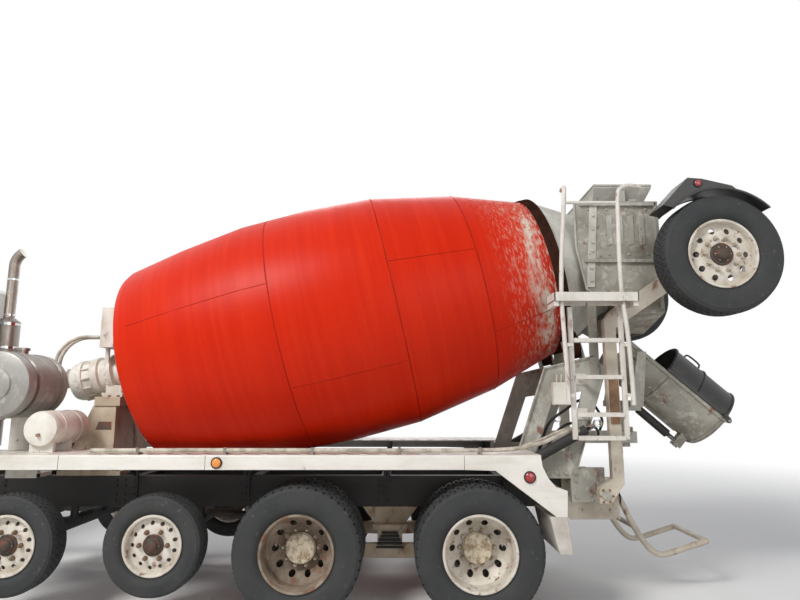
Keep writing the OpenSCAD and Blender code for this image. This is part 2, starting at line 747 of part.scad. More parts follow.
module pusher_axles() {
    color(dark_steel) for (x = pusher_stations) {
        st(x, 0, pusher_z) {
            rotate([90, 0, 0]) cylinder(r = 60, h = 2 * 1000, center = true);
            rotate([90, 0, 0]) cylinder(r = spindle_r, h = 2 * (pusher_tyre_y + 28), center = true);
        }
        // Hanger and trailing arm, and the lift spring
        both() {
            side_plate([[x + 380, 650], [x + 380, rail_z - seat], [x + 520, rail_z - seat],
                [x + 480, 560], [x + 420, 560]], 360, 70);
            side_plate([[x - 20, pusher_z + 50], [x + 460, 640], [x + 460, 580], [x - 20, pusher_z - 20]],
                365, 60);
            st(x - 120, 395, 640) cylinder(r = 35, h = rail_z - 640 - seat);
            side_plate([[x - 160, 620], [x - 160, 650], [x, 650], [x, 620]], 365, 60);
        }
    }
}

hood_back_x = 5965;
hood_front_x = 7340;
// Side outline of the hood drawn in by m, its open back and underside pushed out by over
module hood_side(m, over) {
    side_plate([[hood_back_x - over, 1150 - over], [hood_back_x - over, 1930 - m], [7180 - m, 1740 - m],
        [hood_front_x - m, 1650 - m], [hood_front_x - m, 800 - over], [7060, 800 - over],
        [7000, 1150 - over]], -700, 1400);
}
module hood() {
    t = 20;
    color(paint_white) {
        difference() {
            intersection() {
                hood_side(0, 0);
                st(0, 0, 700) linear_extrude(1400) polygon([[hood_back_x, -640], [hood_front_x, -500],
                    [hood_front_x, 500], [hood_back_x, 640]]);
            }
            intersection() {
                hood_side(t, 1);
                st(0, 0, 690) linear_extrude(1400) polygon([[hood_back_x - 1, -640 + t],
                    [hood_front_x - t, -500 + t], [hood_front_x - t, 500 - t], [hood_back_x - 1, 640 - t]]);
            }
            block([hood_front_x - 40, -400, 860], [hood_front_x + 10, 400, 1560]);
        }
        // Fenders over the steering wheels, the shelf and the panel that join them to the sides
        both() {
            difference() {
                side_plate([[hood_back_x, 1000], [hood_back_x, 1230], [6150, 1262], [6470, 1262],
                    [6980, 1190], [7280, 1080], [7335, 1020], [7335, 800], [6900, 800]], 800, 425);
                st(steer_x, 790, steer_z) rotate([-90, 0, 0]) cylinder(r = 700, h = 445);
            }
            st(0, 0, 1200) linear_extrude(15) polygon([[hood_back_x, 622], [7325, 483], [7325, 801],
                [hood_back_x, 801]]);
            block([7310, 485, 800], [7335, 801, 1215]);
        }
    }
}

module grille() {
    color(chrome) {
        for (i = [0:11]) block([7305, -398, 880 + i * 56], [7330, 398, 900 + i * 56]);
        for (y = [-399.5, 389.5]) block([7304, y, 861], [7331, y + 10, 1559]);
    }
}

module headlamps() {
    color(glass_tint) both() st(7335 + seat, 1010, 950) rotate([0, 90, 0]) cylinder(r = 95, h = 40);
}

module door(side) {
    y0 = side > 0 ? cab_y - cab_wall : -cab_y;
    color(paint_white) difference() {
        side_plate(door_outline(6), y0, cab_wall);
        side_plate(window, y0 - 1, cab_wall + 2);
    }
    color(dark_steel) for (z = [1430, 1830]) difference() {
        union() {
            st(hinge_x + 3, side * hinge_y, z) cylinder(r = 12, h = 60);
            block([hinge_x - 50, side > 0 ? cab_y - 1 : -cab_y - 9, z],
                [hinge_x - 6, side > 0 ? cab_y + 9 : -cab_y + 1, z + 60]);
            block([hinge_x - 7, side > 0 ? cab_y + 2 : -cab_y - 9, z],
                [hinge_x + 3, side > 0 ? cab_y + 9 : -cab_y - 2, z + 60]);
        }
        st(hinge_x + 3, side * hinge_y, z - 1) cylinder(r = 6 + fit, h = 62);
    }
}

module door_glass(side) {
    color(glass_tint) side_plate([[4930 + seat, 2010 + seat], [4930 + seat, 2770 - seat],
        [5440 - seat, 2770 - seat], [5690 - 2 * seat, 2010 + seat]],
        side > 0 ? cab_y - 33 : -cab_y + 27, 6);
}

// Moves to the chute's frame: X down along the chute, Z square up from it, origin at its top
chute_x = 2320;
chute_z = 2270;
module chute_frame() {
    st(-chute_x, 0, chute_z) rotate([0, -chute_slope, 0]) rotate([0, 0, 180]) children();
}
// Hinge of the chute in the chute's own frame
chute_hinge = [150, -60];

// Half a tube along X from x0 to x1, open side up
module trough(x0, x1) {
    difference() {
        translate([x0, 0, 0]) rotate([0, 90, 0]) cylinder(r = chute_r, h = x1 - x0);
        translate([x0 - 1, 0, 0]) rotate([0, 90, 0]) cylinder(r = chute_r - chute_t, h = x1 - x0 + 2);
        translate([x0 - 1, -chute_r - 1, 0]) cube([x1 - x0 + 2, 2 * chute_r + 2, chute_r + 1]);
    }
}

// Base pin of the chute's lift cylinder in stations and heights, its rod's eye in the chute's frame
raise_base = [2450, 1640];
raise_eye = [1040, -395];
module chute_swivel() {
    color(beige) {
        st(-chute_x, 0, 1250) cylinder(r = 55, h = 420);
        st(-chute_x, 0, 1400 + seat) cylinder(r = 90, h = 40);
        block([-chute_x - 60, -391, 1640], [-chute_x + 60, 391, 1700]);
        both() side_plate([[-chute_x - 60, 1641], [-chute_x + 60, 1641], [-2360, 2160], [-2440, 2160]],
            370, 20);
        chute_frame() translate([chute_hinge[0], 0, chute_hinge[1]]) rotate([90, 0, 0]) {
            for (s = [-1, 1]) translate([0, 0, s * 352 - 30]) cylinder(r = 20, h = 60);
        }
        // Ears and pin for the lift cylinder
        for (y = [-75, 50]) block([-raise_base[0] - 30, y, raise_base[1] - 40], [-chute_x, y + 25, 1700]);
        st(-raise_base[0], -70, raise_base[1]) rotate([-90, 0, 0]) cylinder(r = 20, h = 140);
    }
}

// Hinge of the fold chute in the chute's frame, and the fold chute's length
fold_hinge = [chute_len + 12, 2];
fold_len = 700;
fold_gap = 8;
module main_chute() {
    color(steel_grey) chute_frame() {
        difference() {
            union() {
                trough(0, chute_len);
                for (s = [-1, 1]) {
                    translate([0, s * (chute_r + 4) - 12, -30]) cube([chute_len, 24, 28]);
                    translate([chute_hinge[0] - 45, s > 0 ? chute_r - 4 : -chute_r - 30, -110])
                        cube([90, 34, 100]);
                }
            }
            translate([chute_hinge[0], 500, chute_hinge[1]]) rotate([90, 0, 0])
                cylinder(r = 20 + fit, h = 1000);
            translate([-1, 0, 0]) rotate([0, 90, 0]) cylinder(r = chute_r - chute_t, h = chute_len + 2);
        }
        // Ears of the fold chute's hinge with their pins
        for (s = [-1, 1]) scale([1, s, 1]) {
            translate([chute_len - 40, chute_r + 15, -30]) cube([40, 13, 28]);
            translate([fold_hinge[0], chute_r + 28, fold_hinge[1]]) rotate([90, 0, 0])
                cylinder(r = 22, h = 13);
            translate([chute_len - 10, chute_r + 15, -20]) cube([22, 13, 22]);
            translate([fold_hinge[0], chute_r + 46, fold_hinge[1]]) rotate([90, 0, 0])
                cylinder(r = 12, h = 30);
        }
        // Ears for the lift cylinder's rod
        for (y = [-46, 30]) translate([raise_eye[0] - 40, y, raise_eye[1] - 40])
            cube([80, 16, -raise_eye[1] + 40 - chute_r + 5]);
    }
}

module fold_chute() {
    color(black) chute_frame() {
        translate([0, 0, fold_gap]) mirror([0, 0, 1]) {
            trough(chute_len - 6 - fold_len, chute_len - 6);
            for (s = [-1, 1]) translate([chute_len - 6 - fold_len, s * (chute_r + 4) - 12, -28])
                cube([fold_len - 19, 24, 28]);
        }
        for (s = [-1, 1]) scale([1, s, 1]) {
            translate([chute_len - 60, chute_r + 15, fold_gap]) cube([35, 30 + 15 - 3, 24]);
            difference() {
                union() {
                    translate([chute_len - 60, chute_r + 30, -10]) cube([72, 12, 42]);
                    translate([fold_hinge[0], chute_r + 42, fold_hinge[1]]) rotate([90, 0, 0])
                        cylinder(r = 22, h = 12);
                }
                translate([fold_hinge[0], chute_r + 50, fold_hinge[1]]) rotate([90, 0, 0])
                    cylinder(r = 12 + fit, h = 30);
            }
        }
    }
}

// A point of the chute's frame in stations and heights
function chute_point(p) = [-chute_x - p[0] * cos(chute_slope) - p[1] * sin(chute_slope),
    chute_z - p[0] * sin(chute_slope) + p[1] * cos(chute_slope)];

module chute_cylinder() {
    color(dark_steel) ram_barrel([-raise_base[0], raise_base[1]], chute_point(raise_eye), 0, 42, 22, 400);
}

module chute_rod() {
    color(chrome) ram_rod([-raise_base[0], raise_base[1]], chute_point(raise_eye), 0, 22, 90, 50, 15);
}

arm_y = 760;
arm_t = 80;
module booster_arm() {
    color(beige) {
        both() difference() {
            side_plate(concat([[-1780, 840], [-1880, 840], [-2000, 1000], [-2000, 2330]],
                // Round the axle
                [for (p = [[50, -80], [-60, -70], [-75, 40], [-40, 140], [40, 140], [90, 70]])
                    [p[0] - booster_axle_x, p[1] + booster_axle_z]],
                [[-1960, 2480], [-1900, 2400], [-1900, 1040], [-1780, 960]]), arm_y, arm_t);
            st(-booster_pivot_x, arm_y - 1, booster_pivot_z) rotate([-90, 0, 0])
                cylinder(r = 35 + fit, h = arm_t + 2);
        }
        st(-booster_axle_x, 0, booster_axle_z) rotate([90, 0, 0]) {
            cylinder(r = booster_tube_r, h = 2 * (booster_tyre_y - 85), center = true);
            cylinder(r = spindle_r, h = 2 * (booster_tyre_y + 38), center = true);
        }
    }
}

module booster_fenders() {
    color(black) both() {
        st(-booster_axle_x, booster_tyre_y + 150, booster_axle_z) rotate([90, 0, 0])
            rotate_extrude(angle = 95, start = 42, $fn = 128) translate([560, 0]) square([12, 300]);
        // Bracket from the arm
        st(-booster_axle_x - 20, arm_y + arm_t + seat, booster_axle_z) {
            translate([0, 0, 80]) cube([40, 30 - seat, 484]);
            translate([0, 0, 530]) cube([40, booster_tyre_y - 149 - arm_y - arm_t - seat, 34]);
        }
    }
}

// A cylinder's barrel from its base eye towards a rod's eye, in the XZ plane at y: the points are in
// stations and heights, the bore takes a rod of radius rod_r
module ram_barrel(base, tip, y, r, rod_r, length) {
    a = atan2(tip[1] - base[1], tip[0] - base[0]);
    st(base[0], y, base[1]) rotate([0, -a, 0]) difference() {
        union() {
            translate([40, 0, 0]) rotate([0, 90, 0]) cylinder(r = r, h = length - 40);
            rotate([90, 0, 0]) cylinder(r = 42, h = 2 * (r - 5), center = true);
        }
        rotate([90, 0, 0]) cylinder(r = 20 + fit, h = 2 * r + 2, center = true);
        translate([80, 0, 0]) rotate([0, 90, 0]) cylinder(r = rod_r + fit, h = length);
    }
}

// Its rod, from inside the barrel to the eye at the tip
module ram_rod(base, tip, y, rod_r, start, eye_w, eye_bore) {
    a = atan2(tip[1] - base[1], tip[0] - base[0]);
    reach = norm([tip[0] - base[0], tip[1] - base[1]]);
    st(base[0], y, base[1]) rotate([0, -a, 0]) difference() {
        union() {
            translate([start, 0, 0]) rotate([0, 90, 0]) cylinder(r = rod_r, h = reach - start - 20);
            translate([reach, 0, 0]) rotate([90, 0, 0]) cylinder(r = 36, h = eye_w, center = true);
        }
        translate([reach, 0, 0]) rotate([90, 0, 0]) cylinder(r = eye_bore, h = eye_w + 2, center = true);
    }
}

// Base pin on the tower and rod's eye on the arm, stations behind the drive axles' middle
lift_base = [1240, 1180];
lift_eye = [1840, 1500];
lift_y = 700;
module booster_cylinders() {
    color(dark_steel) both() ram_barrel([-lift_base[0], lift_base[1]], [-lift_eye[0], lift_eye[1]],
        lift_y, 45, 22, 560);
}

module booster_rods() {
    color(chrome) both() ram_rod([-lift_base[0], lift_base[1]], [-lift_eye[0], lift_eye[1]],
        lift_y, 22, 90, 50, 22);
}

module steer_wheel(side) {
    wheel_at(steer_x, side, steer_tyre_y, steer_z)
        single_wheel(steer_tyre_d, steer_tyre_w, rim_d, 60, 10, 26, 205, 100);
}

module drive_wheel(x, side) {
    wheel_at(x, side, twin_y, drive_z) twin_wheel();
}

module pusher_wheel(x, side) {
    wheel_at(x, side, pusher_tyre_y, pusher_z)
        single_wheel(pusher_tyre_d, pusher_tyre_w, pusher_rim_d, 60, 13, 17, 165, 85);
}

module booster_wheel(side) {
    wheel_at(-booster_axle_x, side, booster_tyre_y, booster_axle_z)
        single_wheel(tyre_d, tyre_w, rim_d, 70, 10, 24, 205, 90);
}

frame_rails();
crossmembers();
bumper();
engine();
cab();
cab_glass();
seats();
dashboard();
mirrors();
fuel_tanks();
exhaust();
front_pedestal();
water_tanks();
drum_drive();
hose(195);  // hose_outer
hose(120);  // hose_inner
fender_decks();
rear_tower();
hopper();
collector();
ladder();
rear_guard();
steer_axle();
drive_axles();
drive_suspension();
pusher_axles();
hood();
grille();
headlamps();
door(1);  // door_left
door(-1);  // door_right
door_glass(1);  // door_glass_left
door_glass(-1);  // door_glass_right
drum();
track_ring();
roller(1);  // roller_left
roller(-1);  // roller_right
chute_swivel();
main_chute();
fold_chute();
chute_cylinder();
chute_rod();
booster_arm();
booster_fenders();
booster_cylinders();
booster_rods();
knuckle(1);  // knuckle_left
knuckle(-1);  // knuckle_right
steer_wheel(1);  // steer_wheel_left
steer_wheel(-1);  // steer_wheel_right
drive_wheel(drive_stations[0], 1);  // drive_wheel_front_left
drive_wheel(drive_stations[0], -1);  // drive_wheel_front_right
drive_wheel(drive_stations[1], 1);  // drive_wheel_rear_left
drive_wheel(drive_stations[1], -1);  // drive_wheel_rear_right
pusher_wheel(pusher_stations[0], 1);  // pusher_wheel_front_left
pusher_wheel(pusher_stations[0], -1);  // pusher_wheel_front_right
pusher_wheel(pusher_stations[1], 1);  // pusher_wheel_rear_left
pusher_wheel(pusher_stations[1], -1);  // pusher_wheel_rear_right
booster_wheel(1);  // booster_wheel_left
booster_wheel(-1);  // booster_wheel_right
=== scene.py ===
"""Dresses the concrete mixer truck's CAD model and sets it in a plain studio."""

import json
import logging
import math
from collections.abc import Sequence
from dataclasses import dataclass
from enum import Enum

import bmesh
import bpy
import numpy as np
from mathutils import Matrix

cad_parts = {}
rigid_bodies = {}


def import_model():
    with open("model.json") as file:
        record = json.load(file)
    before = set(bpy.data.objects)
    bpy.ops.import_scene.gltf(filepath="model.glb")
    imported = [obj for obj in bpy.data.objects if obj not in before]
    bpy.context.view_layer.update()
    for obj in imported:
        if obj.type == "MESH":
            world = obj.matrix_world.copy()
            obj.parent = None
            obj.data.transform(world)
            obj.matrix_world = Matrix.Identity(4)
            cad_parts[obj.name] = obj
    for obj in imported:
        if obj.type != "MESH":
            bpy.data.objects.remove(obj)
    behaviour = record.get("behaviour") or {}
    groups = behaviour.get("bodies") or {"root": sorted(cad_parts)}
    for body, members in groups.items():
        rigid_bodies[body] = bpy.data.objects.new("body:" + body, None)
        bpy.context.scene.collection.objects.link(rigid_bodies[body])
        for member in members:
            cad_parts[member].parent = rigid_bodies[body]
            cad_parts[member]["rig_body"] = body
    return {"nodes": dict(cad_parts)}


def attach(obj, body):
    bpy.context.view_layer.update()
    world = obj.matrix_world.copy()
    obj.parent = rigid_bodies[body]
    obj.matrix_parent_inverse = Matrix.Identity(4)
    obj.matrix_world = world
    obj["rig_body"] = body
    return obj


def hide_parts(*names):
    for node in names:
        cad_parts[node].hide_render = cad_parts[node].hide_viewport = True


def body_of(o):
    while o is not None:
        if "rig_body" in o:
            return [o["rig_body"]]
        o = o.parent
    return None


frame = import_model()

LOG = logging.getLogger("mixer_truck")
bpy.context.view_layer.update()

Array = np.ndarray
Colour = tuple[float, float, float]
Triple = tuple[float, float, float]

# The middle of the two drive axles, from which stations are measured towards the cab
TANDEM_X = -2.09
# A hair outside the rails' webs, on which brackets stand
RAIL_Y = 0.4303
SIDES = (1, -1)
SIDE_NAMES = {1: "left", -1: "right"}
# Turns that take Z to X, to -X and to Y
TO_FRONT = Matrix.Rotation(math.pi / 2, 4, "Y")
TO_BACK = Matrix.Rotation(-math.pi / 2, 4, "Y")
TO_LEFT = Matrix.Rotation(-math.pi / 2, 4, "X")
# Points of one mesh that are closer than this are one point
MERGE = 2e-5


# Shapes


@dataclass
class Shell:
    """A closed surface: its points, and its faces as lists of point numbers."""

    points: Array
    faces: list[list[int]]

    def moved(self, shift: Sequence[float]) -> "Shell":
        """The same shell, shifted."""
        return Shell(self.points + np.asarray(shift, float), self.faces)

    def turned(self, matrix: Matrix) -> "Shell":
        """The same shell under a 4 x 4 matrix: p becomes R p + t."""
        m = np.array(matrix, float)
        return Shell(self.points @ m[:3, :3].T + m[:3, 3], self.faces)


def join(shells: Sequence[Shell]) -> Shell:
    """Puts several shells into one, their face numbers shifted by the points before them.

    Args:
        shells: The shells, in order.

    Returns:
        One shell with all their points and faces.
    """
    starts = np.cumsum([0] + [len(s.points) for s in shells])
    faces = [[i + int(start) for i in face] for s, start in zip(shells, starts) for face in s.faces]
    return Shell(np.concatenate([s.points for s in shells]), faces)


def quads(rows: int, columns: int, wrap_rows: bool, wrap_columns: bool) -> list[list[int]]:
    """Four-sided faces of a grid of points that is numbered row by row.

    Args:
        rows: Number of rows.
        columns: Number of columns.
        wrap_rows: Whether the last row joins the first.
        wrap_columns: Whether the last column joins the first.

    Returns:
        The faces as lists of four point numbers.
    """
    i = np.arange(rows if wrap_rows else rows - 1)[:, None]
    j = np.arange(columns if wrap_columns else columns - 1)[None, :]
    across = (j + 1) % columns
    down = ((i + 1) % rows) * columns
    cells = np.stack([i * columns + j, i * columns + across, down + across, down + j], axis=-1)
    return cells.reshape(-1, 4).tolist()


def revolve(profile: Sequence[Sequence[float]], segments: int = 64, loop: bool = False) -> Shell:
    """Turns (radius, height) pairs about Z: x = r cos a, y = r sin a, z = h.

    Args:
        profile: Radius and height of each point of the section.
        segments: Steps around the axis.
        loop: Whether the section closes on itself, as a tyre's does. If not, its two ends are
            closed with flat faces, or lie on the axis.

    Returns:
        The closed surface.
    """
    section = np.asarray(profile, float)
    angle = np.arange(segments) * (2 * math.pi / segments)
    circle = np.stack([np.cos(angle), np.sin(angle)], axis=1)
    flat = section[:, None, 0:1] * circle[None]
    height = np.broadcast_to(section[:, None, 1:2], flat.shape[:2] + (1,))
    faces = quads(len(section), segments, loop, True)
    if not loop:
        last = (len(section) - 1) * segments
        if section[0, 0] > 1e-6:
            faces.append(list(range(segments)))
        if section[-1, 0] > 1e-6:
            faces.append(list(range(last, last + segments)))
    return Shell(np.concatenate([flat, height], axis=2).reshape(-1, 3), faces)


def prism(outline: Sequence[Sequence[float]], low: float, high: float, axis: int = 1) -> Shell:
    """Pushes a flat outline along an axis: the outline at low, and again at high.

    Args:
        outline: Pairs in the two other axes, in the order X, Y, Z.
        low: Where the outline starts along the axis.
        high: Where it ends.
        axis: 0, 1 or 2 for X, Y or Z.

    Returns:
        The closed prism.
    """
    flat = np.asarray(outline, float)
    return skin(np.stack([np.insert(flat, axis, end, axis=1) for end in (low, high)]))


def brick(low: Sequence[float], high: Sequence[float]) -> Shell:
    """A box between two corners."""
    outline = [(low[0], low[2]), (high[0], low[2]), (high[0], high[2]), (low[0], high[2])]
    return prism(outline, low[1], high[1])


def rod(start: Sequence[float], end: Sequence[float], radius: float, sides: int = 16) -> Shell:
    """A round bar between two points."""
    return tube([start, end], radius, sides)


def smooth_path(points: Sequence[Sequence[float]], steps: int = 8) -> Array:
    """A smooth curve through points, by the Catmull-Rom formula.

    Between p1 and p2, with neighbours p0 and p3, the curve is half of 2 p1 + (p2 - p0) t +
    (2 p0 - 5 p1 + 4 p2 - p3) t^2 + (3 p1 - p0 - 3 p2 + p3) t^3.

    Args:
        points: Points that the curve passes through.
        steps: Steps from one point to the next.

    Returns:
        The curve's points.
    """
    p = np.asarray(points, float)
    p = np.concatenate([2 * p[:1] - p[1:2], p, 2 * p[-1:] - p[-2:-1]])
    t = np.linspace(0, 1, steps, endpoint=False)[None, :, None]
    a, b, c, d = p[:-3, None], p[1:-2, None], p[2:-1, None], p[3:, None]
    curve = 0.5 * (2 * b + (c - a) * t + (2 * a - 5 * b + 4 * c - d) * t**2 + (3 * b - a - 3 * c + d) * t**3)
    return np.concatenate([curve.reshape(-1, p.shape[1]), p[-2:-1]])


def tube(path: Sequence[Sequence[float]], radius: float, sides: int = 12) -> Shell:
    """A round tube along a path: each ring is square to the mean of the steps beside it.

    Args:
        path: Points of the middle line.
        radius: Radius of the tube.
        sides: Points around each ring.

    Returns:
        The tube, closed at both ends.
    """
    path = np.asarray(path, float)
    step = np.diff(path, axis=0)
    step /= np.linalg.norm(step, axis=1)[:, None]
    along = np.concatenate([step[:1], step[:-1] + step[1:], step[-1:]])
    along /= np.linalg.norm(along, axis=1)[:, None]
    # A direction that is never along the path, made square to it at each point
    spread = np.abs(along).max(axis=0)
    side = np.zeros(3)
    side[int(np.argmin(spread))] = 1.0
    first = side - along * (along @ side)[:, None]
    first /= np.linalg.norm(first, axis=1)[:, None]
    second = np.cross(along, first)
    angle = np.arange(sides) * (2 * math.pi / sides)
    ring = np.cos(angle)[None, :, None] * first[:, None] + np.sin(angle)[None, :, None] * second[:, None]
    # A ring at a bend is widened so that the tube keeps its radius
    bend = np.ones(len(path))
    bend[1:-1] = 1 / np.sqrt(np.clip((1 + np.sum(step[:-1] * step[1:], axis=1)) / 2, 0.3, 1))
    points = path[:, None] + radius * bend[:, None, None] * ring
    return skin(points)


def repeated(shell: Shell, points: Array) -> Shell:
    """Copies of a shell, whose points are given as one row for each copy."""
    n = len(shell.points)
    return Shell(points.reshape(-1, 3), [[i + k * n for i in face] for k in range(len(points)) for face in shell.faces])


def around_axis(radius: Array, angle: Array, height: Array) -> Array:
    """Points (r cos a, r sin a, z), whose three values may be arrays of different shapes."""
    return np.stack(np.broadcast_arrays(radius * np.cos(angle), radius * np.sin(angle), height), axis=-1)


def skin(grid: Array) -> Shell:
    """Closes a grid of rings into a shell, with a flat face on the first ring and on the last.

    Args:
        grid: Points by ring, place round the ring and axis.

    Returns:
        The closed shell.
    """
    rows, n = grid.shape[:2]
    caps = [list(range(n)), list(range((rows - 1) * n, rows * n))]
    return Shell(grid.reshape(-1, 3), quads(rows, n, False, True) + caps)


def copies(shell: Shell, shifts: Sequence[Sequence[float]]) -> Shell:
    """One shell at several places: each copy's points are p + shift."""
    return repeated(shell, shell.points + np.asarray(shifts, float)[:, None])


def around(shell: Shell, count: int) -> Shell:
    """Repeats a shell about Z: copy k is turned by k / count of a turn.

    Args:
        shell: The shell.
        count: Number of copies.

    Returns:
        All copies in one shell.
    """
    turns = np.arange(count)[:, None] * (2 * math.pi / count)
    c, s = np.cos(turns), np.sin(turns)
    x, y, z = shell.points.T
    return repeated(shell, np.stack([c * x - s * y, s * x + c * y, z + 0 * c], axis=2))


def bolt_head(radius: float, height: float) -> Shell:
    """A six-sided head along Z with a washer under it."""
    return revolve([(0, 0), (radius * 1.3, 0), (radius * 1.3, height * 0.2), (radius, height * 0.2),
                    (radius, height * 0.85), (radius * 0.8, height), (0, height)], 6)


def bolts(places: Sequence[Sequence[float]], normal: Sequence[float], radius: float) -> Shell:
    """Bolt heads at several places, standing along a normal."""
    return copies(bolt_head(radius, radius * 1.1).turned(facing(normal)), places)


def facing(normal: Sequence[float]) -> Matrix:
    """A turn that takes Z to a normal.

    Args:
        normal: The direction, of any length.

    Returns:
        The turn as a 4 x 4 matrix.
    """
    z = np.asarray(normal, float) / np.linalg.norm(normal)
    x = np.cross([0.0, 0.0, 1.0] if abs(z[2]) < 0.9 else [1.0, 0.0, 0.0], z)
    x /= np.linalg.norm(x)
    return Matrix(np.stack([x, np.cross(z, x), z], axis=1).tolist()).to_4x4()


def band(radius: float, thick: float, low: float, high: float, segments: int) -> Shell:
    """A flat band about Z, outside a radius and between two heights."""
    outer = radius + thick
    return revolve([(radius, low), (outer, low), (outer, high), (radius, high)], segments, loop=True)


def holed_disc(inner: float, outer: float, holes: int, ring: float, hole: float,
               dish: Sequence[Sequence[float]], thickness: float) -> Shell:
    """A dished disc with round hand holes.

    Each sector is a sheet between its hole's circle and its own edge: p = (1 - t) circle(u) +
    t edge(u), for u around the hole and t outwards. The height follows the dish by radius.

    Args:
        inner: Inner radius of the disc.
        outer: Outer radius.
        holes: Number of hand holes.
        ring: Radius on which the holes' middles lie.
        hole: Radius of a hole.
        dish: Radius and height pairs of the front face.
        thickness: Thickness of the disc.

    Returns:
        The disc about Z, front face up.
    """
    half = math.pi / holes
    corner_out = math.atan2(half * ring, outer - ring)
    corner_in = math.atan2(half * ring, inner - ring)
    upper = np.concatenate([np.linspace(0, corner_out, 5)[:-1], np.linspace(corner_out, corner_in, 7)[:-1],
                            np.linspace(corner_in, math.pi, 5)])
    u = np.concatenate([upper, -upper[-2:0:-1]])
    a, b = np.cos(u), np.sin(u)
    with np.errstate(divide="ignore"):
        reach_r = np.where(a > 0, (outer - ring) / a, (inner - ring) / np.where(a == 0, -1e-9, a))
        reach_t = half * ring / np.abs(b)
    reach = np.minimum(reach_r, reach_t)
    edge_r, edge_t = ring + a * reach, b * reach / ring
    edge = np.stack([edge_r * np.cos(edge_t), edge_r * np.sin(edge_t)], axis=1)
    circle = np.stack([ring + hole * a, hole * b], axis=1)
    t = np.linspace(0, 1, 5)[:, None, None]
    flat = (1 - t) * circle[None] + t * edge[None]
    radii = np.linalg.norm(flat, axis=2)
    table = np.asarray(dish, float)
    height = np.interp(radii, table[:, 0], table[:, 1])
    front = np.concatenate([flat, height[..., None]], axis=2).reshape(-1, 3)
    back = front - np.array([0, 0, thickness])
    n, rows = len(u), len(t)
    faces = quads(rows, n, False, True)
    faces += [[i + rows * n for i in face] for face in faces]
    # The hole's wall, and the walls along the inner and outer arcs
    faces += [[i, (i + 1) % n, (i + 1) % n + rows * n, i + rows * n] for i in range(n)]
    arc = (np.abs(edge_r - outer) < 1e-6) | (np.abs(edge_r - inner) < 1e-6)
    same = np.abs(edge_r - np.roll(edge_r, -1)) < 1e-6
    rim = (rows - 1) * n
    faces += [[rim + i, rim + (i + 1) % n, rim + (i + 1) % n + rows * n, rim + i + rows * n]
              for i in np.flatnonzero(arc & same & np.roll(arc, -1)).tolist()]
    return around(Shell(np.concatenate([front, back]), faces), holes)


def station(x: float, y: float = 0.0, z: float = 0.0) -> Triple:
    """A point from its station, measured from the drive axles' middle."""
    return (TANDEM_X + x, y, z)


def stations(points: Sequence[Sequence[float]]) -> Array:
    """Several points from their stations."""
    return np.asarray(points, float) + np.array([TANDEM_X, 0, 0])


def side_outline(points: Sequence[Sequence[float]]) -> Array:
    """An outline in stations and heights, moved to the truck's frame."""
    return np.asarray(points, float) + np.array([TANDEM_X, 0])


def slab(x0: float, x1: float, y0: float, y1: float, z0: float, z1: float) -> Shell:
    """A box between two stations, two side distances and two heights, in any order."""
    return brick(station(x0, y0, z0), station(x1, y1, z1))


def plate(outline: Sequence[Sequence[float]], low: float, high: float) -> Shell:
    """An outline in stations and heights, pushed from one side distance to another."""
    return prism(side_outline(outline), low, high)


def bent(points: Sequence[Sequence[float]], steps: int, radius: float, sides: int) -> Shell:
    """A round tube along a smooth curve through points given by station."""
    return tube(smooth_path(stations(points), steps), radius, sides)


def on_side(left: Sequence[Shell], side: int) -> list[Shell]:
    """Shells of the left side as they are, or as mirror images for the right."""
    return list(left) if side > 0 else [mirrored(shell) for shell in left]


def both(left: Sequence[Shell]) -> list[Shell]:
    """Shells of the left side, and their mirror images on the right."""
    return on_side(left, 1) + on_side(left, -1)


def mirrored(shell: Shell) -> Shell:
    """The same shell on the other side of the truck: y becomes -y, faces turned round."""
    return Shell(shell.points * np.array([1, -1, 1]), [face[::-1] for face in shell.faces])


# Finishes


def feed(tree: bpy.types.NodeTree, node: bpy.types.Node, inputs: dict[str | int, object]) -> bpy.types.Node:
    """Sets a node's inputs to values, and links those for which a socket is given.

    Args:
        tree: The node tree.
        node: The node.
        inputs: A value or a socket for the name or number of each input.

    Returns:
        The node.
    """
    for key, value in inputs.items():
        if isinstance(value, bpy.types.NodeSocket):
            tree.links.new(value, node.inputs[key])
        else:
            node.inputs[key].default_value = value
    return node


def new_node(tree: bpy.types.NodeTree, kind: str, inputs: dict[str | int, object],
             **settings: str) -> bpy.types.Node:
    """Adds a node to a tree.

    Args:
        tree: The node tree.
        kind: The node's type, without the word ShaderNode.
        inputs: A value or a socket for the name or number of each input.
        settings: The node's own settings, made before its inputs.

    Returns:
        The node.
    """
    node = tree.nodes.new("ShaderNode" + kind)
    for name, value in settings.items():
        setattr(node, name, value)
    return feed(tree, node, inputs)


@dataclass(frozen=True)
class Wear:
    """Patches of another colour over a finish.

    Attributes:
        colour: Colour of the patches, from 0 to 255.
        scale: Texture scale, or its values along X, Y and Z; a small number stretches the patches.
        cover: Share of the surface that is covered, from 0 to 1.
        soft: Softness of the patches' edges.
        strength: Opacity of the patches.
        low: Height, or distance along the axis, where the patches begin to fade in.
        high: Height, or distance along the axis, where they are at full strength.
        rough: Roughness under the patches.
    """

    colour: Colour
    scale: float | Triple
    cover: float
    soft: float
    strength: float
    low: float | None = None
    high: float = 0.0
    rough: float = 0.8


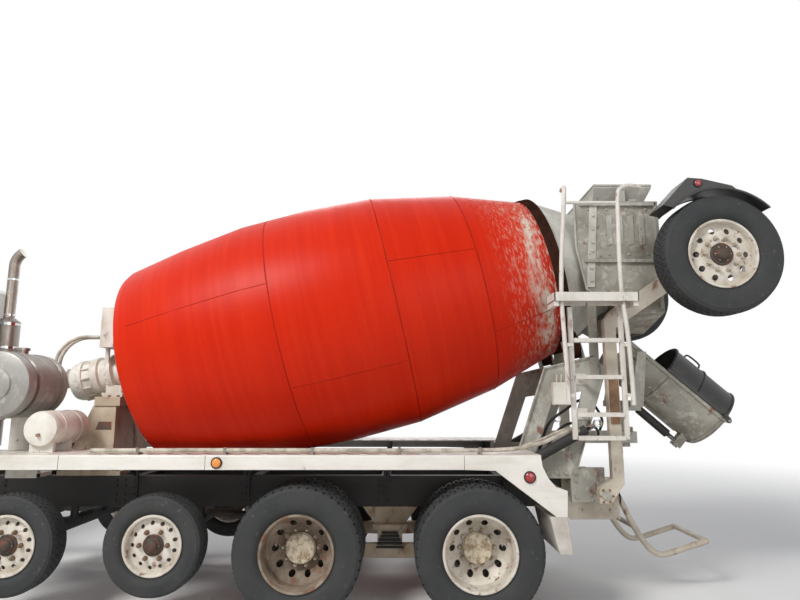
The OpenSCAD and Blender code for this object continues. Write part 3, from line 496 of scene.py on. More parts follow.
@dataclass(frozen=True)
class Finish:
    """A surface finish, made as a procedural material.

    Attributes:
        name: Name of the material.
        colour: Base colour, from 0 to 255.
        rough: Roughness.
        metal: 1 for bare metal.
        coat: Clear coat weight.
        shine: Strength of its plain reflection; 0.5 is usual.
        wear: Layers of wear, from the lowest up.
        bump: Depth of the surface's unevenness, in metres.
        bump_scale: Scale of the unevenness.
        clear: Transmission, for glass.
        origin: Origin of the pattern.
        lean: Turn of the pattern about Y, in radians.
    """

    name: str
    colour: Colour
    rough: float
    metal: float = 0.0
    coat: float = 0.0
    shine: float = 0.5
    wear: tuple[Wear, ...] = ()
    bump: float = 0.0
    bump_scale: float = 0.0
    clear: float = 0.0
    origin: Triple = (0.0, 0.0, 0.0)
    lean: float = 0.0

    def material(self) -> bpy.types.Material:
        """The material, made at its first use and kept."""
        return bpy.data.materials.get(f"{self.name}_finish") or self._build()

    def _build(self) -> bpy.types.Material:
        """Builds the node tree: base colour, the wear layers over it, and the unevenness.

        Returns:
            The new material.
        """
        material = bpy.data.materials.new(f"{self.name}_finish")
        material.use_nodes = True
        tree = material.node_tree
        base = (*linear(self.colour), 1)
        shader = feed(tree, tree.nodes["Principled BSDF"], {
            "Base Color": base, "Roughness": self.rough, "Metallic": self.metal, "Coat Weight": self.coat,
            "Specular IOR Level": self.shine, "Coat Roughness": 0.12, "Transmission Weight": self.clear})
        place = tree.nodes.new("ShaderNodeTexCoord").outputs["Object"]
        colour, rough = base, self.rough
        for number, layer in enumerate(self.wear):
            mask = self._mask(tree, place, layer, number)
            colour = self._mix(tree, mask, colour, (*linear(layer.colour), 1), "RGBA")
            rough = self._mix(tree, mask, rough, layer.rough, "FLOAT")
        feed(tree, shader, {"Base Color": colour, "Roughness": rough})
        if self.bump:
            noise = new_node(tree, "TexNoise", {"Scale": self.bump_scale, "Detail": 4, "Vector": place})
            bump = new_node(tree, "Bump", {"Distance": self.bump, "Strength": 0.6, "Height": noise.outputs["Fac"]})
            feed(tree, shader, {"Normal": bump.outputs["Normal"]})
        return material

    def _mask(self, tree: bpy.types.NodeTree, place: bpy.types.NodeSocket, layer: Wear,
              number: int) -> bpy.types.NodeSocket:
        """Where a layer of wear shows: noise above its threshold, times its fade along Z.

        Args:
            tree: The material's node tree.
            place: Object coordinates.
            layer: The layer of wear.
            number: The layer's number, which shifts its pattern.

        Returns:
            The socket that holds the mask.
        """
        turn = new_node(tree, "Mapping", {"Location": self.origin, "Rotation": (0, self.lean, 0), "Vector": place},
                        vector_type="TEXTURE")
        stretch = new_node(tree, "Mapping", {
            "Scale": np.broadcast_to(layer.scale, 3).tolist(), "Vector": turn.outputs["Vector"],
            "Location": (7.3 * number, 3.1 * number, 1.7 * number)})
        noise = new_node(tree, "TexNoise", {"Scale": 1.0, "Detail": 7, "Roughness": 0.62,
                                            "Vector": stretch.outputs["Vector"]})
        # Noise gathers about one half, so a cover from 0 to 1 moves its threshold from 0.75 to 0.25
        edge = 0.75 - 0.5 * layer.cover
        mask = self._range(tree, noise.outputs["Fac"], edge - layer.soft, edge + layer.soft, layer.strength)
        if layer.low is None:
            return mask
        axis = new_node(tree, "SeparateXYZ", {"Vector": turn.outputs["Vector"]})
        fade = self._range(tree, axis.outputs["Z"], layer.low, layer.high, 1.0)
        return new_node(tree, "Math", {0: mask, 1: fade}, operation="MULTIPLY").outputs[0]

    @staticmethod
    def _range(tree: bpy.types.NodeTree, value: bpy.types.NodeSocket, low: float, high: float,
               top: float) -> bpy.types.NodeSocket:
        """Maps a value from low..high to 0..top, held at both ends."""
        inputs = {"From Min": low, "From Max": high, "To Max": top, "Value": value}
        return new_node(tree, "MapRange", inputs).outputs["Result"]

    @staticmethod
    def _mix(tree: bpy.types.NodeTree, mask: bpy.types.NodeSocket, below: object, above: object,
             kind: str) -> bpy.types.NodeSocket:
        """Mixes two colours or values by a mask; each may be a socket or a constant."""
        first, out = {"RGBA": (6, 2), "FLOAT": (2, 0)}[kind]
        return new_node(tree, "Mix", {0: mask, first: below, first + 1: above}, data_type=kind).outputs[out]


def linear(colour: Colour) -> Colour:
    """Linear values of a colour that is written with 0 to 255 for each of its parts."""
    v = np.array(colour) / 255
    return tuple(np.where(v <= 0.04045, v / 12.92, ((v + 0.055) / 1.055) ** 2.4).tolist())


RUST = (120, 66, 38)
DUST = (176, 168, 152)
CEMENT = (188, 184, 172)
SOOT = (46, 43, 40)
DRUM_POLE = station(2.6, 0, 2.005)
DRUM_LEAN = math.radians(13.1 - 90)

DRUM_RED = Finish(
    "drum_red", (200, 36, 4), 0.38, shine=0.12, origin=DRUM_POLE, lean=DRUM_LEAN, bump=0.0005, bump_scale=7,
    wear=(
        Wear((184, 28, 6), (0.4, 0.4, 7.0), 0.5, 0.2, 0.5, rough=0.48),
        Wear((220, 58, 20), (0.6, 0.6, 18.0), 0.36, 0.14, 0.3, rough=0.42),
        Wear((148, 34, 16), (1.0, 1.0, 26.0), 0.16, 0.06, 0.35, rough=0.6),
        Wear((206, 118, 92), (3.0, 3.0, 14.0), 0.5, 0.14, 0.5, 3.7, 4.1, rough=0.8),
        Wear((212, 204, 186), (1.7, 1.7, 6.0), 0.43, 0.06, 0.95, 3.86, 4.04, rough=0.9),
        Wear((178, 34, 12), (1.5, 1.5, 3.0), 0.62, 0.1, 0.9, 4.08, 4.13, rough=0.6),
        Wear((196, 40, 12), (15.0, 15.0, 30.0), 0.42, 0.07, 0.85, 3.5, 3.6, rough=0.6),
        Wear((212, 204, 186), (14.0, 14.0, 52.0), 0.36, 0.06, 0.75, 3.62, 4.2, rough=0.9),
    ))
NECK_WHITE = Finish(
    "neck_cement", (206, 203, 192), 0.85, origin=DRUM_POLE, lean=DRUM_LEAN, bump=0.003, bump_scale=30,
    wear=(Wear((158, 152, 140), 6.0, 0.42, 0.12, 0.5), Wear(RUST, (4.0, 4.0, 9.0), 0.14, 0.04, 0.4)))
DRUM_SEAM = Finish("drum_seam", (168, 30, 8), 0.5, shine=0.1, wear=(Wear((132, 24, 8), 5.0, 0.5, 0.1, 0.6),))
TRACK_STEEL = Finish("track_steel", (58, 36, 28), 0.9, shine=0.0, wear=(Wear((38, 24, 20), 5.0, 0.45, 0.1, 0.7),))
FENDER_WHITE = Finish(
    "fender_white", (226, 221, 211), 0.38, coat=0.3,
    wear=(Wear(DUST, (1.5, 1.5, 5.0), 0.38, 0.14, 0.5), Wear(RUST, (10.0, 10.0, 4.0), 0.1, 0.03, 0.6)))
CAB_WHITE = Finish(
    "cab_white", (224, 219, 212), 0.25, coat=0.6,
    wear=(Wear(DUST, (1.2, 1.2, 2.5), 0.35, 0.16, 0.3, 1.9, 0.9),))
RAIL_WHITE = Finish(
    "rail_white", (214, 208, 198), 0.55,
    wear=(Wear(CEMENT, (7.0, 7.0, 5.0), 0.4, 0.1, 0.6), Wear(RUST, (14.0, 14.0, 7.0), 0.2, 0.04, 0.75)))
MACHINE_WHITE = Finish(
    "machine_white", (226, 221, 210), 0.5,
    wear=(Wear((168, 154, 132), (5.0, 5.0, 3.0), 0.42, 0.12, 0.6), Wear(SOOT, (8.0, 8.0, 5.0), 0.18, 0.05, 0.5)))
PEDESTAL_BEIGE = Finish(
    "pedestal_beige", (190, 176, 152), 0.6,
    wear=(Wear((140, 120, 92), (3.5, 3.5, 2.5), 0.45, 0.14, 0.7), Wear(RUST, (7.0, 7.0, 3.0), 0.3, 0.05, 0.85)))
TOWER_GREY = Finish(
    "tower_grey", (180, 178, 168), 0.7, bump=0.0015, bump_scale=24,
    wear=(Wear((128, 122, 108), (2.6, 2.6, 1.6), 0.48, 0.14, 0.7),
          Wear((206, 202, 190), (9.0, 9.0, 6.0), 0.34, 0.07, 0.7),
          Wear(RUST, (8.0, 8.0, 3.5), 0.2, 0.04, 0.8)))
CHUTE_GREY = Finish(
    "chute_grey", (166, 162, 150), 0.8, bump=0.002, bump_scale=30,
    wear=(Wear((122, 114, 100), 4.0, 0.46, 0.12, 0.7), Wear((198, 194, 182), 12.0, 0.32, 0.06, 0.7),
          Wear(RUST, 7.0, 0.2, 0.04, 0.8)))
CHUTE_BLACK = Finish("chute_black", (34, 33, 33), 0.4, wear=(Wear((84, 80, 74), 5.0, 0.36, 0.1, 0.6),))
BOOSTER_BEIGE = Finish(
    "booster_beige", (198, 188, 170), 0.55,
    wear=(Wear((150, 138, 118), 3.0, 0.42, 0.12, 0.6), Wear(RUST, (9.0, 9.0, 5.0), 0.22, 0.05, 0.8)))
LIFT_RUST = Finish("lift_rust", (146, 116, 88), 0.65, wear=(Wear((104, 66, 42), 7.0, 0.5, 0.12, 0.8),))
# Black paint whose base colour is darkened further as painted shade, for the deep shade under the deck; the pale
# patches are dust and rust
CHASSIS_BLACK_AND_SHADE = Finish(
    "chassis_black_and_shade", (32, 31, 31), 0.6,
    wear=(Wear((62, 57, 50), 4.0, 0.42, 0.16, 0.5), Wear(RUST, 9.0, 0.12, 0.04, 0.5)))
CAST_GREY = Finish("cast_grey", (74, 72, 70), 0.65, 0.2, wear=(Wear((110, 96, 78), 6.0, 0.45, 0.1, 0.6),))
TYRE_RUBBER = Finish(
    "tyre_rubber", (38, 40, 41), 0.75, bump=0.0006, bump_scale=160,
    wear=(Wear((70, 69, 65), 3.5, 0.42, 0.18, 0.5, rough=0.9), Wear((120, 112, 98), 22.0, 0.16, 0.05, 0.4, rough=0.95)))
RIM_WHITE = Finish(
    "rim_white", (214, 207, 194), 0.45,
    wear=(Wear((170, 156, 134), (6.0, 6.0, 5.0), 0.46, 0.12, 0.7), Wear(RUST, 16.0, 0.24, 0.05, 0.9)))
RIM_WORN = Finish(
    "rim_worn", (150, 136, 118), 0.6,
    wear=(Wear((96, 78, 62), 5.0, 0.55, 0.12, 0.8), Wear(RUST, 14.0, 0.3, 0.06, 0.8)))
HUB_CREAM = Finish(
    "hub_cream", (206, 194, 168), 0.5,
    wear=(Wear((132, 104, 74), (18.0, 18.0, 14.0), 0.42, 0.08, 0.8),))
HUB_DARK = Finish("hub_dark", (64, 56, 48), 0.6, 0.2, wear=(Wear(RUST, 14.0, 0.4, 0.1, 0.7),))
NUT_RUST = Finish("nut_rust", (124, 104, 84), 0.6, 0.3, wear=(Wear(RUST, 40.0, 0.35, 0.1, 0.8),))
NUT_PALE = Finish("nut_pale", (186, 176, 156), 0.55, 0.2, wear=(Wear((110, 84, 60), 36.0, 0.4, 0.1, 0.8),))
TANK_ALLOY = Finish(
    "tank_alloy", (160, 158, 152), 0.42, 0.35,
    wear=(Wear((122, 118, 110), 4.0, 0.45, 0.16, 0.6), Wear((196, 192, 182), (10.0, 10.0, 8.0), 0.3, 0.06, 0.6)))
BRIGHT_ALLOY = Finish("bright_alloy", (206, 208, 210), 0.22, 1.0, wear=(
    Wear((160, 154, 146), (3.0, 3.0, 5.0), 0.3, 0.15, 0.4, rough=0.5),))
BRIGHT_CHROME = Finish("bright_chrome", (218, 220, 222), 0.08, 1.0)
STACK_STEEL = Finish("stack_steel", (150, 146, 140), 0.32, 1.0, wear=(
    Wear((110, 84, 62), (4.0, 4.0, 3.0), 0.42, 0.14, 0.6, rough=0.6),))
BLACK_PLASTIC = Finish("black_plastic", (34, 34, 36), 0.5)
TRIM_RUBBER = Finish("trim_rubber", (28, 28, 29), 0.75)
HOSE_WHITE = Finish("hose_white", (198, 190, 174), 0.6, wear=(Wear((120, 108, 92), 9.0, 0.45, 0.1, 0.7),))
WINDOW_GLASS = Finish("window_glass", (190, 206, 208), 0.03, clear=0.85)
LAMP_CLEAR = Finish("lamp_clear", (230, 232, 235), 0.06, clear=0.6, coat=0.5)
LAMP_AMBER = Finish("lamp_amber", (233, 140, 48), 0.18, coat=0.8)
LAMP_RED = Finish("lamp_red", (158, 20, 32), 0.18, coat=0.8)
MIRROR_FACE = Finish("mirror_face", (235, 238, 240), 0.02, 1.0)
SEAT_CLOTH = Finish("seat_cloth", (48, 48, 52), 0.9, bump=0.001, bump_scale=300)
DASH_PLASTIC = Finish("dash_plastic", (52, 52, 54), 0.6)
FLAP_WHITE = Finish("flap_white", (214, 208, 200), 0.6, wear=(Wear((150, 138, 122), (3.0, 3.0, 4.0), 0.5, 0.15, 0.7),))


# Pieces


def added(name: str, data: bpy.types.ID) -> bpy.types.Object:
    """Puts a new object into the scene.

    Args:
        name: The object's name.
        data: Its mesh, camera or light.

    Returns:
        The object.
    """
    made = bpy.data.objects.new(name, data)
    bpy.context.collection.objects.link(made)
    return made


def edges_marked(mesh: bpy.types.Mesh, sharp: float) -> None:
    """Shades a mesh smooth, apart from its edges over an angle in degrees."""
    mesh.shade_smooth()
    mesh.set_sharp_from_angle(angle=math.radians(sharp))


def finish_mesh(mesh: bpy.types.Mesh, sharp: float) -> None:
    """Merges doubled points, turns the faces outwards and marks edges over an angle as sharp.

    Args:
        mesh: The mesh.
        sharp: The angle in degrees.
    """
    work = bmesh.new()
    work.from_mesh(mesh)
    bmesh.ops.remove_doubles(work, verts=work.verts, dist=MERGE)
    bmesh.ops.dissolve_degenerate(work, edges=work.edges, dist=MERGE / 2)
    bmesh.ops.recalc_face_normals(work, faces=work.faces)
    work.to_mesh(mesh)
    work.free()
    edges_marked(mesh, sharp)


def piece(name: str, shells: Sequence[Shell], finish: Finish, body: str = "chassis",
          bevel: float = 0.0, sharp: float = 35.0, stands_for: Sequence[str] = ()) -> bpy.types.Object:
    """Makes one piece of the truck from closed shells.

    Args:
        name: The piece's name.
        shells: Closed surfaces in the truck's frame.
        finish: Its finish.
        body: The CAD body that it rides on.
        bevel: Width of its rounded edges, 0 for none.
        sharp: Angle in degrees over which an edge stays sharp.
        stands_for: CAD nodes that it replaces.

    Returns:
        The object.
    """
    shell = join(shells)
    mesh = bpy.data.meshes.new(name)
    mesh.from_pydata(shell.points.tolist(), [], shell.faces)
    finish_mesh(mesh, sharp)
    return dress(added(name, mesh), finish, body, bevel, stands_for)


def dress(made: bpy.types.Object, finish: Finish, body: str, bevel: float,
          stands_for: Sequence[str]) -> bpy.types.Object:
    """Gives an object its finish, its rounded edges and its body, and hides the CAD nodes that it replaces.

    Args:
        made: The object.
        finish: Its finish.
        body: The CAD body that it rides on.
        bevel: Width of its rounded edges, 0 for none.
        stands_for: CAD nodes that it replaces.

    Returns:
        The object.
    """
    made.data.materials.clear()
    made.data.materials.append(finish.material())
    if bevel:
        edge = made.modifiers.new("rounded_edges", "BEVEL")
        edge.width = bevel
        edge.segments = 2
        edge.limit_method = "ANGLE"
        edge.angle_limit = math.radians(32)
        edge.harden_normals = True
    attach(made, body)
    if stands_for:
        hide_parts(*stands_for)
    LOG.info("%s: %d faces", made.name, len(made.data.polygons))
    return made


def carried(node: str) -> str:
    """The body that a CAD node rides on."""
    return body_of(frame["nodes"][node])[0]


def refined(node: str, finish: Finish, bevel: float = 0.0) -> bpy.types.Object:
    """A copy of a CAD node with its points merged, flat faces joined and edges rounded.

    Args:
        node: The CAD node that the copy replaces.
        finish: Its finish.
        bevel: Width of its rounded edges, 0 for none.

    Returns:
        The copy, which rides on the node's body.
    """
    mesh = frame["nodes"][node].data.copy()
    mesh.name = node + "_dressed"
    work = bmesh.new()
    work.from_mesh(mesh)
    bmesh.ops.remove_doubles(work, verts=work.verts, dist=MERGE)
    bmesh.ops.dissolve_limit(work, angle_limit=math.radians(0.6), verts=work.verts, edges=work.edges)
    work.to_mesh(mesh)
    work.free()
    edges_marked(mesh, 35)
    return dress(added(mesh.name, mesh), finish, carried(node), bevel, [node])


# Wheels

# Station, side distance and height of the middle of a booster wheel
BOOSTER_AXLE: Triple = (-2.815, 1.1, 2.92)


class Tread(Enum):
    """Tread patterns, with the depth of their cross grooves as a share of the full depth."""

    BLOCKS = 1.0
    RIBS = 0.45


class Hub(Enum):
    """Kinds of hub, by the radius of the circle on which their cover's studs stand."""

    AXLE_FLANGE = 0.096
    OIL_CAP = 0.052
    BARE_CAP = 0.056
    DARK_CAP = 0.045


@dataclass
class Wheel:
    """One tyre on its disc wheel, about Z with the outer face up and z = 0 at the tyre's middle.

    Attributes:
        tyre_d: Outside diameter of the tyre.
        tyre_w: Width of the tyre.
        rim_d: Diameter of the rim's flange.
        disc_z: Height of the disc's face at the hub.
        edge_z: Height of the disc's face where it meets the barrel.
        holes: Number of hand holes.
        hole_r: Radius of a hand hole.
        hole_ring: Radius of the circle of hand holes.
        nuts: Number of wheel nuts.
        nut_ring: Radius of the circle of nuts.
        tread: Tread pattern.
        pitches: Blocks around the tyre.
    """

    tyre_d: float
    tyre_w: float
    rim_d: float
    disc_z: float
    edge_z: float
    holes: int
    hole_r: float
    hole_ring: float
    nuts: int
    nut_ring: float
    tread: Tread
    pitches: int = 48

    @property
    def barrel_r(self) -> float:
        """Inner radius of the barrel."""
        return self.rim_d / 2 - 0.028

    def tyre(self) -> Shell:
        """The tyre: a closed section carried round, its radius cut by the grooves.

        A point of row i and column j has radius r_i - depth * max(round_i, cross_j * tread_i) and
        angle (j + phase_i) of a pitch, so that rows of blocks stand staggered.

        Returns:
            The tyre's closed surface.
        """
        r, w = self.tyre_d / 2, self.tyre_w
        b = self.rim_d / 2 - 0.016
        h = r - b
        bead = 0.36 * w - 0.001
        wall = smooth_path([(b, bead), (b + 0.024, bead), (b + 0.2 * h + 0.014, 0.46 * w),
                            (b + 0.5 * h, 0.498 * w), (r - 0.22 * h, 0.478 * w), (r - 0.13 * h, 0.452 * w)], 3)
        # A raised bead line and a shoulder line on the wall
        wall[4:6, 1] += 0.0025
        wall[-3, 1] += 0.002
        blocks = self.tread is Tread.BLOCKS
        # The round grooves across the tread, from -1 to 1, each with its two walls
        grooves = np.array([-0.55, 0.0, 0.55] if blocks else [-0.58, -0.2, 0.2, 0.58])
        gap = 0.055 if blocks else 0.045
        u = np.concatenate([[-1.0], (grooves[:, None] + gap * np.array([-1, -0.75, 0.75, 1])).reshape(-1), [1.0]])
        cut = np.concatenate([[0.0], np.tile([0.0, 1.0, 1.0, 0.0], len(grooves)), [0.0]])
        # Every second row of blocks is shifted by half a pitch
        rows = len(grooves) + 1
        phase = np.repeat(0.5 * (np.arange(rows) % 2), [3] + [4] * (rows - 2) + [3])
        tread_z = 0.42 * w * u
        tread_r = np.interp(np.abs(tread_z), [0.2 * w, 0.36 * w, 0.42 * w], [r, r - 0.01 * h, r - 0.065 * h])
        radius = np.concatenate([wall[:, 0], tread_r[::-1], wall[::-1, 0]])
        height = np.concatenate([wall[:, 1], tread_z[::-1], -wall[::-1, 1]])
        plain = np.zeros(len(wall))
        rings = np.concatenate([plain, cut, plain])
        # The cross grooves run out at the shoulders
        cross = np.concatenate([plain, np.where(np.abs(u) > 0.99, 0.3, 1.0), plain])
        stagger = np.concatenate([plain + phase[-1], phase[::-1], plain + phase[0]])
        # A pitch is a block up to its second share, and a cross groove after its third
        share = np.array([0.0, 0.72, 0.76, 0.96] if blocks else [0.0, 0.84, 0.87, 0.97])
        turns = (np.arange(self.pitches)[:, None] + share).reshape(-1)
        masks = np.tile([0.0, 0.0, 1.0, 1.0], self.pitches) * self.tread.value
        depth = 0.017 if blocks else 0.013
        sunk = depth * np.maximum(rings[:, None], cross[:, None] * masks[None])
        flat = radius[:, None] - sunk
        angle = (turns[None] + stagger[:, None]) * (2 * math.pi / self.pitches)
        z = np.broadcast_to(height[:, None], flat.shape)
        points = np.stack([flat * np.cos(angle), flat * np.sin(angle), z], axis=2).reshape(-1, 3)
        return Shell(points, quads(len(radius), len(turns), True, True))

    def barrel(self) -> Shell:
        """The rim's barrel with a rolled flange at each end."""
        r, e, i = self.rim_d / 2, 0.36 * self.tyre_w, self.barrel_r
        upper = [(r - 0.0163, e - 0.002), (r - 0.001, e + 0.001), (r, e + 0.006), (r - 0.004, e + 0.011),
                 (r - 0.011, e + 0.012), (r - 0.02, e + 0.008), (r - 0.024, e - 0.006), (i, e - 0.03)]
        return revolve(upper + [(q, -z) for q, z in upper[::-1]], 96, loop=True)

    def disc(self) -> Shell:
        """The dished disc with its hand holes: flat at the nuts, then sloping to the barrel."""
        flat_r = self.hole_ring - self.hole_r - 0.008
        middle = (flat_r + self.barrel_r) / 2
        rise = self.edge_z - self.disc_z
        dish = [(0.0, self.disc_z), (flat_r, self.disc_z), (flat_r + 0.012, self.disc_z + 0.1 * rise),
                (middle, self.disc_z + 0.62 * rise), (self.barrel_r, self.edge_z)]
        return holed_disc(self.nut_ring * 0.5, self.barrel_r + 0.002, self.holes, self.hole_ring, self.hole_r,
                          dish, 0.011)

    def nut_set(self) -> Shell:
        """Wheel nuts on their washers, with the studs' ends showing."""
        nut = revolve([(0, 0), (0.021, 0), (0.021, 0.004), (0.0175, 0.004), (0.0175, 0.024), (0.014, 0.028),
                       (0, 0.028)], 6)
        stud = revolve([(0, 0.02), (0.0105, 0.02), (0.0105, 0.04), (0.009, 0.042), (0, 0.042)], 10)
        return around(join([nut, stud]).moved((self.nut_ring, 0, self.disc_z)), self.nuts)


@dataclass
class WheelPlace:
    """A wheel, single or twin, where it stands on the truck.

    Attributes:
        node: CAD node, which is also the body's name.
        place: Middle of the wheel in the truck's frame.
        side: 1 on the left, -1 on the right.
        wheel: Its outer wheel.
        hub: Kind of hub.
        twin_gap: Distance between the middles of twin tyres, 0 for a single tyre.
        rim_finish: Finish of the disc wheel.
        nut_finish: Finish of its nuts.
    """

    node: str
    place: Triple
    side: int
    wheel: Wheel
    hub: Hub
    twin_gap: float = 0.0
    rim_finish: Finish = RIM_WHITE
    nut_finish: Finish = NUT_PALE

    def on_truck(self, shell: Shell) -> Shell:
        """Turns a shell's Z to the truck's outside and sets it at the wheel's place."""
        turn = TO_LEFT if self.side > 0 else TO_LEFT.inverted()
        return shell.turned(Matrix.Translation(self.place) @ turn)

    def hub_shells(self) -> tuple[Shell, Shell]:
        """The hub and its cover, and the fasteners on it.

        Returns:
            The hub, and its fasteners.
        """
        face = self.wheel.disc_z + self.twin_gap / 2
        ring = self.hub.value
        if self.hub is Hub.AXLE_FLANGE:
            body = [(0, -0.225), (0.112, -0.225), (0.112, face + 0.03), (0.124, face + 0.036), (0.124, face + 0.046),
                    (0.117, face + 0.05), (0.117, face + 0.064), (0.112, face + 0.069), (0.036, face + 0.07),
                    (0.03, face + 0.062), (0, face + 0.06)]
            heads = around(bolt_head(0.011, 0.015).moved((ring, 0, face + 0.068)), 8)
        else:
            big = 0.083 if self.hub is Hub.DARK_CAP else 0.098
            cap = ring + 0.016
            body = [(0, -0.075), (big, -0.075), (big, face + 0.006), (big - 0.006, face + 0.012),
                    (cap, face + 0.014), (cap, face + 0.024), (cap - 0.01, face + 0.028),
                    (ring - 0.004, face + 0.05), (ring - 0.014, face + 0.057), (0, face + 0.058)]
            heads = around(bolt_head(0.006, 0.007).moved((ring + 0.008, 0, face + 0.023)), 6)
        return revolve(body, 48), heads

    def build(self) -> None:
        """Makes the tyre, the disc wheel, the hub and its fasteners."""
        half = self.twin_gap / 2
        wheel = self.wheel
        tyres, rims = [wheel.tyre().moved((0, 0, half))], [join([wheel.barrel(), wheel.disc()]).moved((0, 0, half))]
        if half:
            flip = Matrix.Rotation(math.pi, 4, "X") @ Matrix.Translation((0, 0, half))
            tyres.append(wheel.tyre().turned(flip))
            # The inner disc stands back by 8 mm, so that the two discs don't touch
            rims.append(join([wheel.barrel(), wheel.disc().moved((0, 0, -0.008))]).turned(flip))
        hub, heads = self.hub_shells()
        nuts = wheel.nut_set().moved((0, 0, half))
        dark = self.hub in (Hub.DARK_CAP, Hub.BARE_CAP)
        drum_r = min(0.21, wheel.barrel_r - 0.035)
        drum_low = -0.24 if half else -0.07
        brake = revolve([(0.06, drum_low), (drum_r, drum_low), (drum_r, half + wheel.disc_z - 0.03),
                         (drum_r - 0.02, half + wheel.disc_z - 0.015), (0.06, half + wheel.disc_z - 0.015)], 48)
        parts = (("tyre", tyres, TYRE_RUBBER), ("rim", rims, self.rim_finish),
                 ("hub", [hub], HUB_DARK if dark else HUB_CREAM), ("nuts", [nuts, heads], self.nut_finish),
                 ("brake_drum", [brake], CAST_GREY))
        for label, shells, finish in parts:
            made = [self.on_truck(shell) for shell in shells]
            piece(f"{self.node}_{label}", made, finish, self.node, stands_for=(self.node,),
                  sharp=28 if label == "tyre" else 35)


@dataclass
class RunningGear:
    """All wheels, and the axles, springs and beams that carry them.

    Attributes:
        drive_spacing: Distance between the drive axles.
        drive_z: Height of the drive axles.
        twin_y: Middle of a twin pair.
        twin_gap: Distance between the middles of twin tyres.
        steer: Station, side distance and height of a steering wheel.
        pusher: Side distance and height of a pusher wheel.
        pusher_stations: Stations of the two pusher axles.
    """

    drive_spacing: float = 1.44
    drive_z: float = 0.515
    twin_y: float = 0.91
    twin_gap: float = 0.34
    steer: Triple = (6.31, 1.0275, 0.535)
    pusher: tuple[float, float] = (1.085, 0.575)
    pusher_stations: tuple[float, float] = (3.0, 1.85)

    def wheels(self) -> list[WheelPlace]:
        """Every wheel of the truck, with its kind and place."""
        drive = Wheel(1.03, 0.28, 0.597, -0.15, -0.06, 10, 0.026, 0.205, 10, 0.143, Tread.BLOCKS, 46)
        steer = Wheel(1.07, 0.385, 0.597, 0.06, 0.04, 10, 0.027, 0.21, 10, 0.143, Tread.RIBS, 56)
        booster = Wheel(1.03, 0.28, 0.597, 0.07, 0.05, 10, 0.026, 0.21, 10, 0.143, Tread.RIBS, 56)
        pusher = Wheel(0.78, 0.245, 0.47, 0.06, 0.04, 13, 0.0165, 0.168, 6, 0.111, Tread.RIBS, 50)
        rows = []
        for side, name in SIDE_NAMES.items():
            for place, x in (("front", 1), ("rear", -1)):
                spot = station(x * self.drive_spacing / 2, side * self.twin_y, self.drive_z)
                worn = RIM_WORN if x > 0 else RIM_WHITE
                rows.append(WheelPlace(f"drive_wheel_{place}_{name}", spot, side, drive, Hub.AXLE_FLANGE,
                                       self.twin_gap, worn))
            for place, x in zip(("front", "rear"), self.pusher_stations):
                spot = station(x, side * self.pusher[0], self.pusher[1])
                rows.append(WheelPlace(f"pusher_wheel_{place}_{name}", spot, side, pusher, Hub.DARK_CAP,
                                       nut_finish=NUT_RUST))
            for label, (x, y, z), wheel, hub, finish in (("steer", self.steer, steer, Hub.OIL_CAP, BRIGHT_ALLOY),
                                                         ("booster", BOOSTER_AXLE, booster, Hub.BARE_CAP, RIM_WHITE)):
                rows.append(WheelPlace(f"{label}_wheel_{name}", station(x, side * y, z), side, wheel, hub,
                                       rim_finish=finish))
        return rows

    def axles(self) -> None:
        """The axles, knuckles and beams, and the chambers, bolts and leaves on them."""
        for node in ("steer_axle", "drive_axles", "pusher_axles"):
            refined(node, CHASSIS_BLACK_AND_SHADE, 0.004)
        refined("drive_suspension", PEDESTAL_BEIGE, 0.006)
        for name in SIDE_NAMES.values():
            refined(f"knuckle_{name}", CAST_GREY, 0.003)
        chamber = revolve([(0, 0), (0.06, 0), (0.072, 0.02), (0.072, 0.07), (0.078, 0.075), (0.078, 0.085),
                           (0.072, 0.09), (0.07, 0.15), (0.055, 0.165), (0, 0.165)], 32)
        half = self.drive_spacing / 2
        spots = [(x - 0.15, 0.3, 0.72) for x in (half, -half)] + [(x + 0.09, 0.55, 0.6) for x in self.pusher_stations]
        left = [chamber.turned(TO_FRONT).moved(station(*spot)) for spot in spots]
        piece("brake_chambers", both(left), CHASSIS_BLACK_AND_SHADE)
        self.rubber_blocks()
        self.shafts()

    def rubber_blocks(self) -> None:
        """Ribbed rubber blocks of the tandem's centre, and the clamps of its beams."""
        ribs = [slab(-0.12 + 0.012 * k, 0.12 - 0.012 * k, 0.519, 0.545, 0.415 + 0.03 * k, 0.433 + 0.03 * k)
                for k in range(5)]
        clamps = [slab(-0.13, 0.13, 0.519, 0.531, 0.566, 0.606),
                  bolts([station(x, 0.53, 0.586) for x in (-0.1, 0.1)], (0, 1, 0), 0.014),
                  bolts([station(x, 0.53, 0.395) for x in (-0.74, -0.7, 0.7, 0.74)], (0, 1, 0), 0.013)]
        piece("tandem_rubber", both(ribs), TRIM_RUBBER, bevel=0.003)
        piece("tandem_clamps", both(clamps), PEDESTAL_BEIGE)

    def shafts(self) -> None:
        """The drive shafts from the engine block to the drive axles, with their joints' yokes."""
        line = [station(5.98, 0, 0.86), station(3.6, 0, 0.8), station(1.03, 0, 0.56)]
        between = [station(0.4, 0, 0.56), station(-0.42, 0, 0.56)]
        yoke = revolve([(0, -0.06), (0.045, -0.06), (0.062, -0.03), (0.062, 0.03), (0.045, 0.06), (0, 0.06)], 16)
        yokes = [yoke.turned(TO_FRONT).moved(spot) for spot in line[1:] + between[1:]]
        piece("drive_shafts", [rod(*line[:2], 0.04), rod(*line[1:], 0.04)] + yokes, CAST_GREY)

    def build(self) -> None:
        """Makes every wheel and what carries it."""
        for wheel in self.wheels():
            wheel.build()
        self.axles()


# Drum


